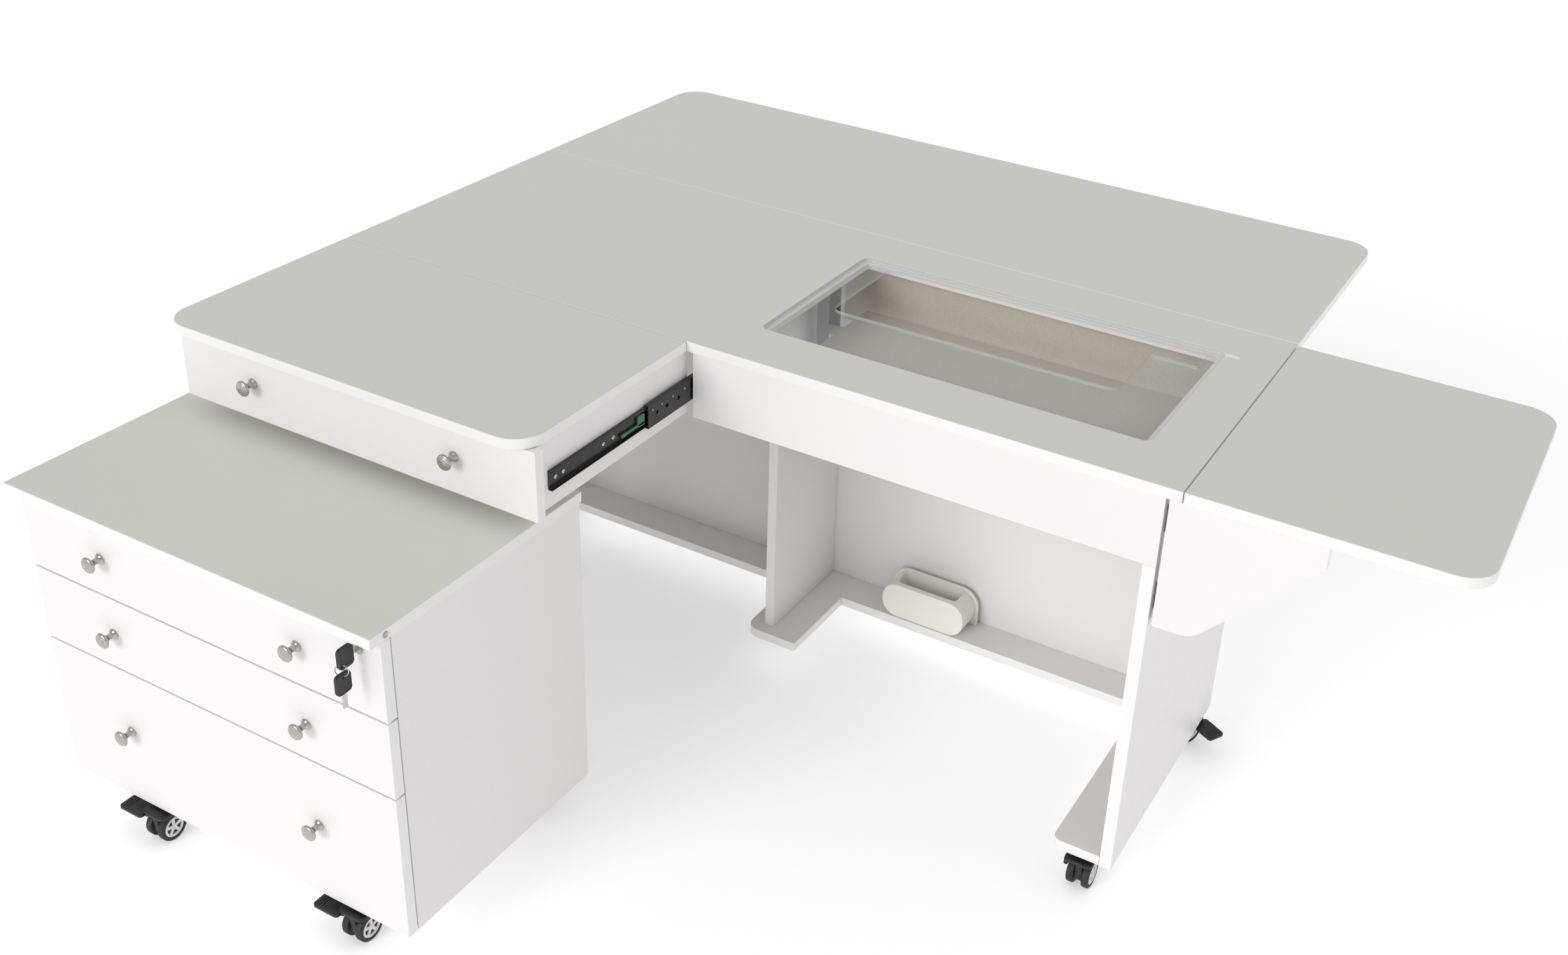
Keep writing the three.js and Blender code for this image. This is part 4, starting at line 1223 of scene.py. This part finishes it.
# ---------------------------------------------------------------- casters
@dataclass
class Casters:
    """Twin-wheel swivel casters, each turned about its stem as the design places it."""

    top: float = 59.7
    trail: float = 16
    radius: float = 24
    reach: float = 19
    inner: float = 7
    spokes: int = 5
    plain: Sequence[str] = ("cabinet_caster_front_right", "cabinet_caster_front_left")

    def build(self) -> None:
        """Builds one set of parts and copies it to every caster."""
        axes = {joint["child"]: Vector(joint["axis"]) for joint in frame["joints"]}
        housing, pedal, wheels, hubs = self.housing(), self.pedal(), self.wheels(), self.hubs()
        for joint in frame["joints"]:
            if not joint["name"].endswith("_swivel"):
                continue
            name = joint["child"]
            axle = axes[f"{name}_wheels"]
            stem = Vector((joint["pos_m"][0], joint["pos_m"][1], 0))
            place = Matrix.Translation(stem) @ Matrix.Rotation(math.atan2(axle.y, axle.x), 4, "Z")
            shell = housing.copied(f"{name}_shell")
            if name not in self.plain:
                shell.with_parts(pedal.copied(f"{name}_pedal"))
            shell.moved(place).dressed(BLACK_PLASTIC)
            shell.delivered(name, Slot.BLACK_PLASTIC, f"{name}_housing", smooth=30)
            tyres = wheels.copied(f"{name}_tyres").moved(place)
            tyres.dressed(RUBBER).delivered(f"{name}_wheels", Slot.RUBBER, f"{name}_wheels", smooth=40)
            discs = hubs.copied(f"{name}_hubs").moved(place)
            discs.dressed(HUB).delivered(f"{name}_wheels", Slot.RUBBER, smooth=40)
        for pattern in (housing, pedal, wheels, hubs):
            bpy.data.objects.remove(pattern.piece)

    def _block(self, name: str, x: Span, y: Span, z: Span) -> Workpiece:
        """A block given in millimetres from the foot of the stem."""
        return Workpiece.block(name, Vector((x[0], y[0], z[0])) * MM, Vector((x[1], y[1], z[1])) * MM)

    def housing(self) -> Workpiece:
        """Models the mounting plate, stem, hood, cheek and the bridge that carries the axle.

        Returns:
            The pattern.
        """
        top, trail, reach = self.top, self.trail, self.reach
        plate = self._block("housing", (-22, 22), (-22, 22), (top - 3, top))
        plate.round_edges(2, 4, 4).softened(0.5)
        rings = [(11, top - 3.2), (11, top - 4.4), (9.5, top - 5), (9.5, top - 8), (11, top - 8.6),
                 (11, top - 9.2)]
        stem = Workpiece.turned("stem", rings, Vector((0, 0, 0)), Way.UP, 24)
        hood = self._block("hood", (-reach - 2, reach + 8), (-20, trail + 22), (top - 12, top - 6))
        hood.round_edges(2, 9, 6).softened(2.2, 4)
        cheek = self._block("cheek", (reach + 1, reach + 8), (-8, trail + 18), (top - 22, top - 8))
        cheek.softened(2.4, 4)
        bridge = self._block("bridge", (-6, 6), (-13, trail + 19), (12, top - 8))
        bridge.round_edges(0, 12, 6).softened(0.8)
        axle = Workpiece.turned("axle", [(2.8, -reach + 2), (2.8, reach - 2)],
                                Vector((0, trail, self.radius)) * MM, Way.RIGHT, 16)
        screws = [screw_head("screw", Vector((x, y, top - 3)) * MM, Way.DOWN, 3)
                  for x in (-16, 16) for y in (-16, 16)]
        return plate.with_parts(stem, hood, cheek, bridge, axle, *screws)

    def pedal(self) -> Workpiece:
        """Models the flat brake pedal with three shallow treads across its end.

        Returns:
            The pattern.
        """
        top = self.top
        work = self._block("pedal", (22, 71), (10, 44), (top - 17.7, top - 12.7)).round_edges(2, 6, 6)
        grooves = [self._block("groove", (x, x + 1.6), (14, 40), (top - 13.5, top)) for x in (54, 59, 64)]
        return work.cut(*grooves).softened(0.9, 3)

    def wheels(self) -> Workpiece:
        """Models both treads on their common core, with a recess for each hub.

        Returns:
            The pattern.
        """
        r, out, inner = self.radius, self.reach, self.inner
        half = [(3.2, inner), (r - 2.0, inner), (r - 0.6, inner + 0.6), (r, inner + 2), (r, out - 2),
                (r - 0.6, out - 0.7), (r - 2.0, out), (18.8, out), (18.2, out - 0.6), (18.0, out - 3)]
        rings = [(radius, -along) for radius, along in reversed(half)] + half
        return Workpiece.turned("wheels", rings, Vector((0, self.trail, self.radius)) * MM, Way.RIGHT, 48)

    def hubs(self) -> Workpiece:
        """Models a rim, a boss and the spokes in the recess of each tread.

        Returns:
            The pattern.
        """
        centre = Vector((0, self.trail, self.radius)) * MM
        parts = []
        for side, way in ((-1, Way.LEFT), (1, Way.RIGHT)):
            face = centre + Vector((side * (self.reach - 2.2) * MM, 0, 0))
            parts.append(Workpiece.ring("rim", face, (0, math.pi / 2, 0), 15.4, 2.4))
            boss = [(5.4, -1.2), (5.4, 1.2), (4.6, 1.9), (2.6, 1.9), (2.2, 1.3), (0.4, 1.3)]
            parts.append(Workpiece.turned("boss", boss, face, way, 24))
            for step in range(self.spokes):
                spoke = self._block("spoke", (-1.2, 1.2), (-2.6, 2.6), (4, 14.5)).softened(0.5)
                turn = Matrix.Rotation(math.tau * step / self.spokes, 4, "X")
                parts.append(spoke.moved(Matrix.Translation(face) @ turn))
        return parts[0].with_parts(*parts[1:])


# ---------------------------------------------------------------- studio
@dataclass
class Studio:
    """The floor, the light and the camera."""

    eye: tuple[float, float, float] = (1346.36, -1968.70, 1943.08)
    azimuth: float = 27.245
    elevation: float = 26.854
    roll: float = 3.313
    lens: float = 38.790
    shift: Span = (-0.0606, -0.0730)
    floor_size: float = 300.0
    sky: float = 0.64
    key_strength: float = 1.08
    key_softness: float = 26.0
    key_heading: tuple[float, float, float] = (0.22, 0.90, -0.38)
    floor_glow: float = 0.32

    def build(self) -> None:
        """Sets up the floor, the light and the camera."""
        self.floor()
        self.light()
        self.camera()

    def floor(self) -> None:
        """A plain pale floor."""
        bpy.ops.object.select_all(action="DESELECT")
        bpy.ops.mesh.primitive_plane_add(size=self.floor_size, location=(0, 0, -0.0005))
        floor = bpy.context.object
        floor.name = "studio_floor"
        pale = Finish("studio_floor", (0.955, 0.955, 0.955), (0.945, 0.945, 0.945), 3, (0.80, 0.90), 0.0,
                      specular=0.0)
        material = pale.material()
        shader = material.node_tree.nodes["Principled BSDF"]
        shader.inputs["Emission Color"].default_value = (1.0, 1.0, 1.0, 1.0)
        shader.inputs["Emission Strength"].default_value = self.floor_glow
        floor.data.materials.append(material)

    def light(self) -> None:
        """An even pale sky and one broad, soft key light from the front left."""
        world = bpy.data.worlds.new("studio")
        world.use_nodes = True
        background = world.node_tree.nodes["Background"]
        background.inputs["Color"].default_value = (1.0, 1.0, 1.0, 1.0)
        background.inputs["Strength"].default_value = self.sky
        bpy.context.scene.world = world
        bpy.ops.object.light_add(type="SUN", location=(-2, -3, 5))
        key = bpy.context.object
        key.name = "key_light"
        key.data.energy = self.key_strength
        key.data.angle = math.radians(self.key_softness)
        key.rotation_euler = Vector(self.key_heading).to_track_quat("-Z", "Y").to_euler()

    def camera(self) -> None:
        """The camera, standing to the right in front of the table and looking down at it."""
        turn, tilt, lean = (math.radians(angle) for angle in (self.azimuth, self.elevation, self.roll))
        forward = Vector((-math.sin(turn) * math.cos(tilt), math.cos(turn) * math.cos(tilt), -math.sin(tilt)))
        level = Vector((math.cos(turn), math.sin(turn), 0))
        upright = level.cross(forward)
        right = level * math.cos(lean) + upright * math.sin(lean)
        up = upright * math.cos(lean) - level * math.sin(lean)
        data = bpy.data.cameras.new("camera")
        data.lens = self.lens
        data.sensor_width = 36
        data.shift_x, data.shift_y = self.shift
        data.clip_start, data.clip_end = 0.05, 500
        camera = bpy.data.objects.new("camera", data)
        bpy.context.scene.collection.objects.link(camera)
        axes = Matrix((right, up, -forward)).transposed().to_4x4()
        camera.matrix_world = Matrix.Translation(at(*self.eye)) @ axes
        bpy.context.scene.camera = camera
        bpy.context.scene.view_settings.view_transform = "Standard"


def main() -> None:
    """Builds the studio, then the table, sub-assembly by sub-assembly."""
    logging.basicConfig(level=logging.INFO, format="%(name)s: %(message)s")
    for part in (Studio(), TopAndLeaves(), Cabinet(), MachineLift(), Wings(), Extension(), Caddy(),
                 LockAndKeys(), Casters()):
        log.info("building %s", type(part).__name__)
        part.build()


if __name__ == "__main__":
    main()
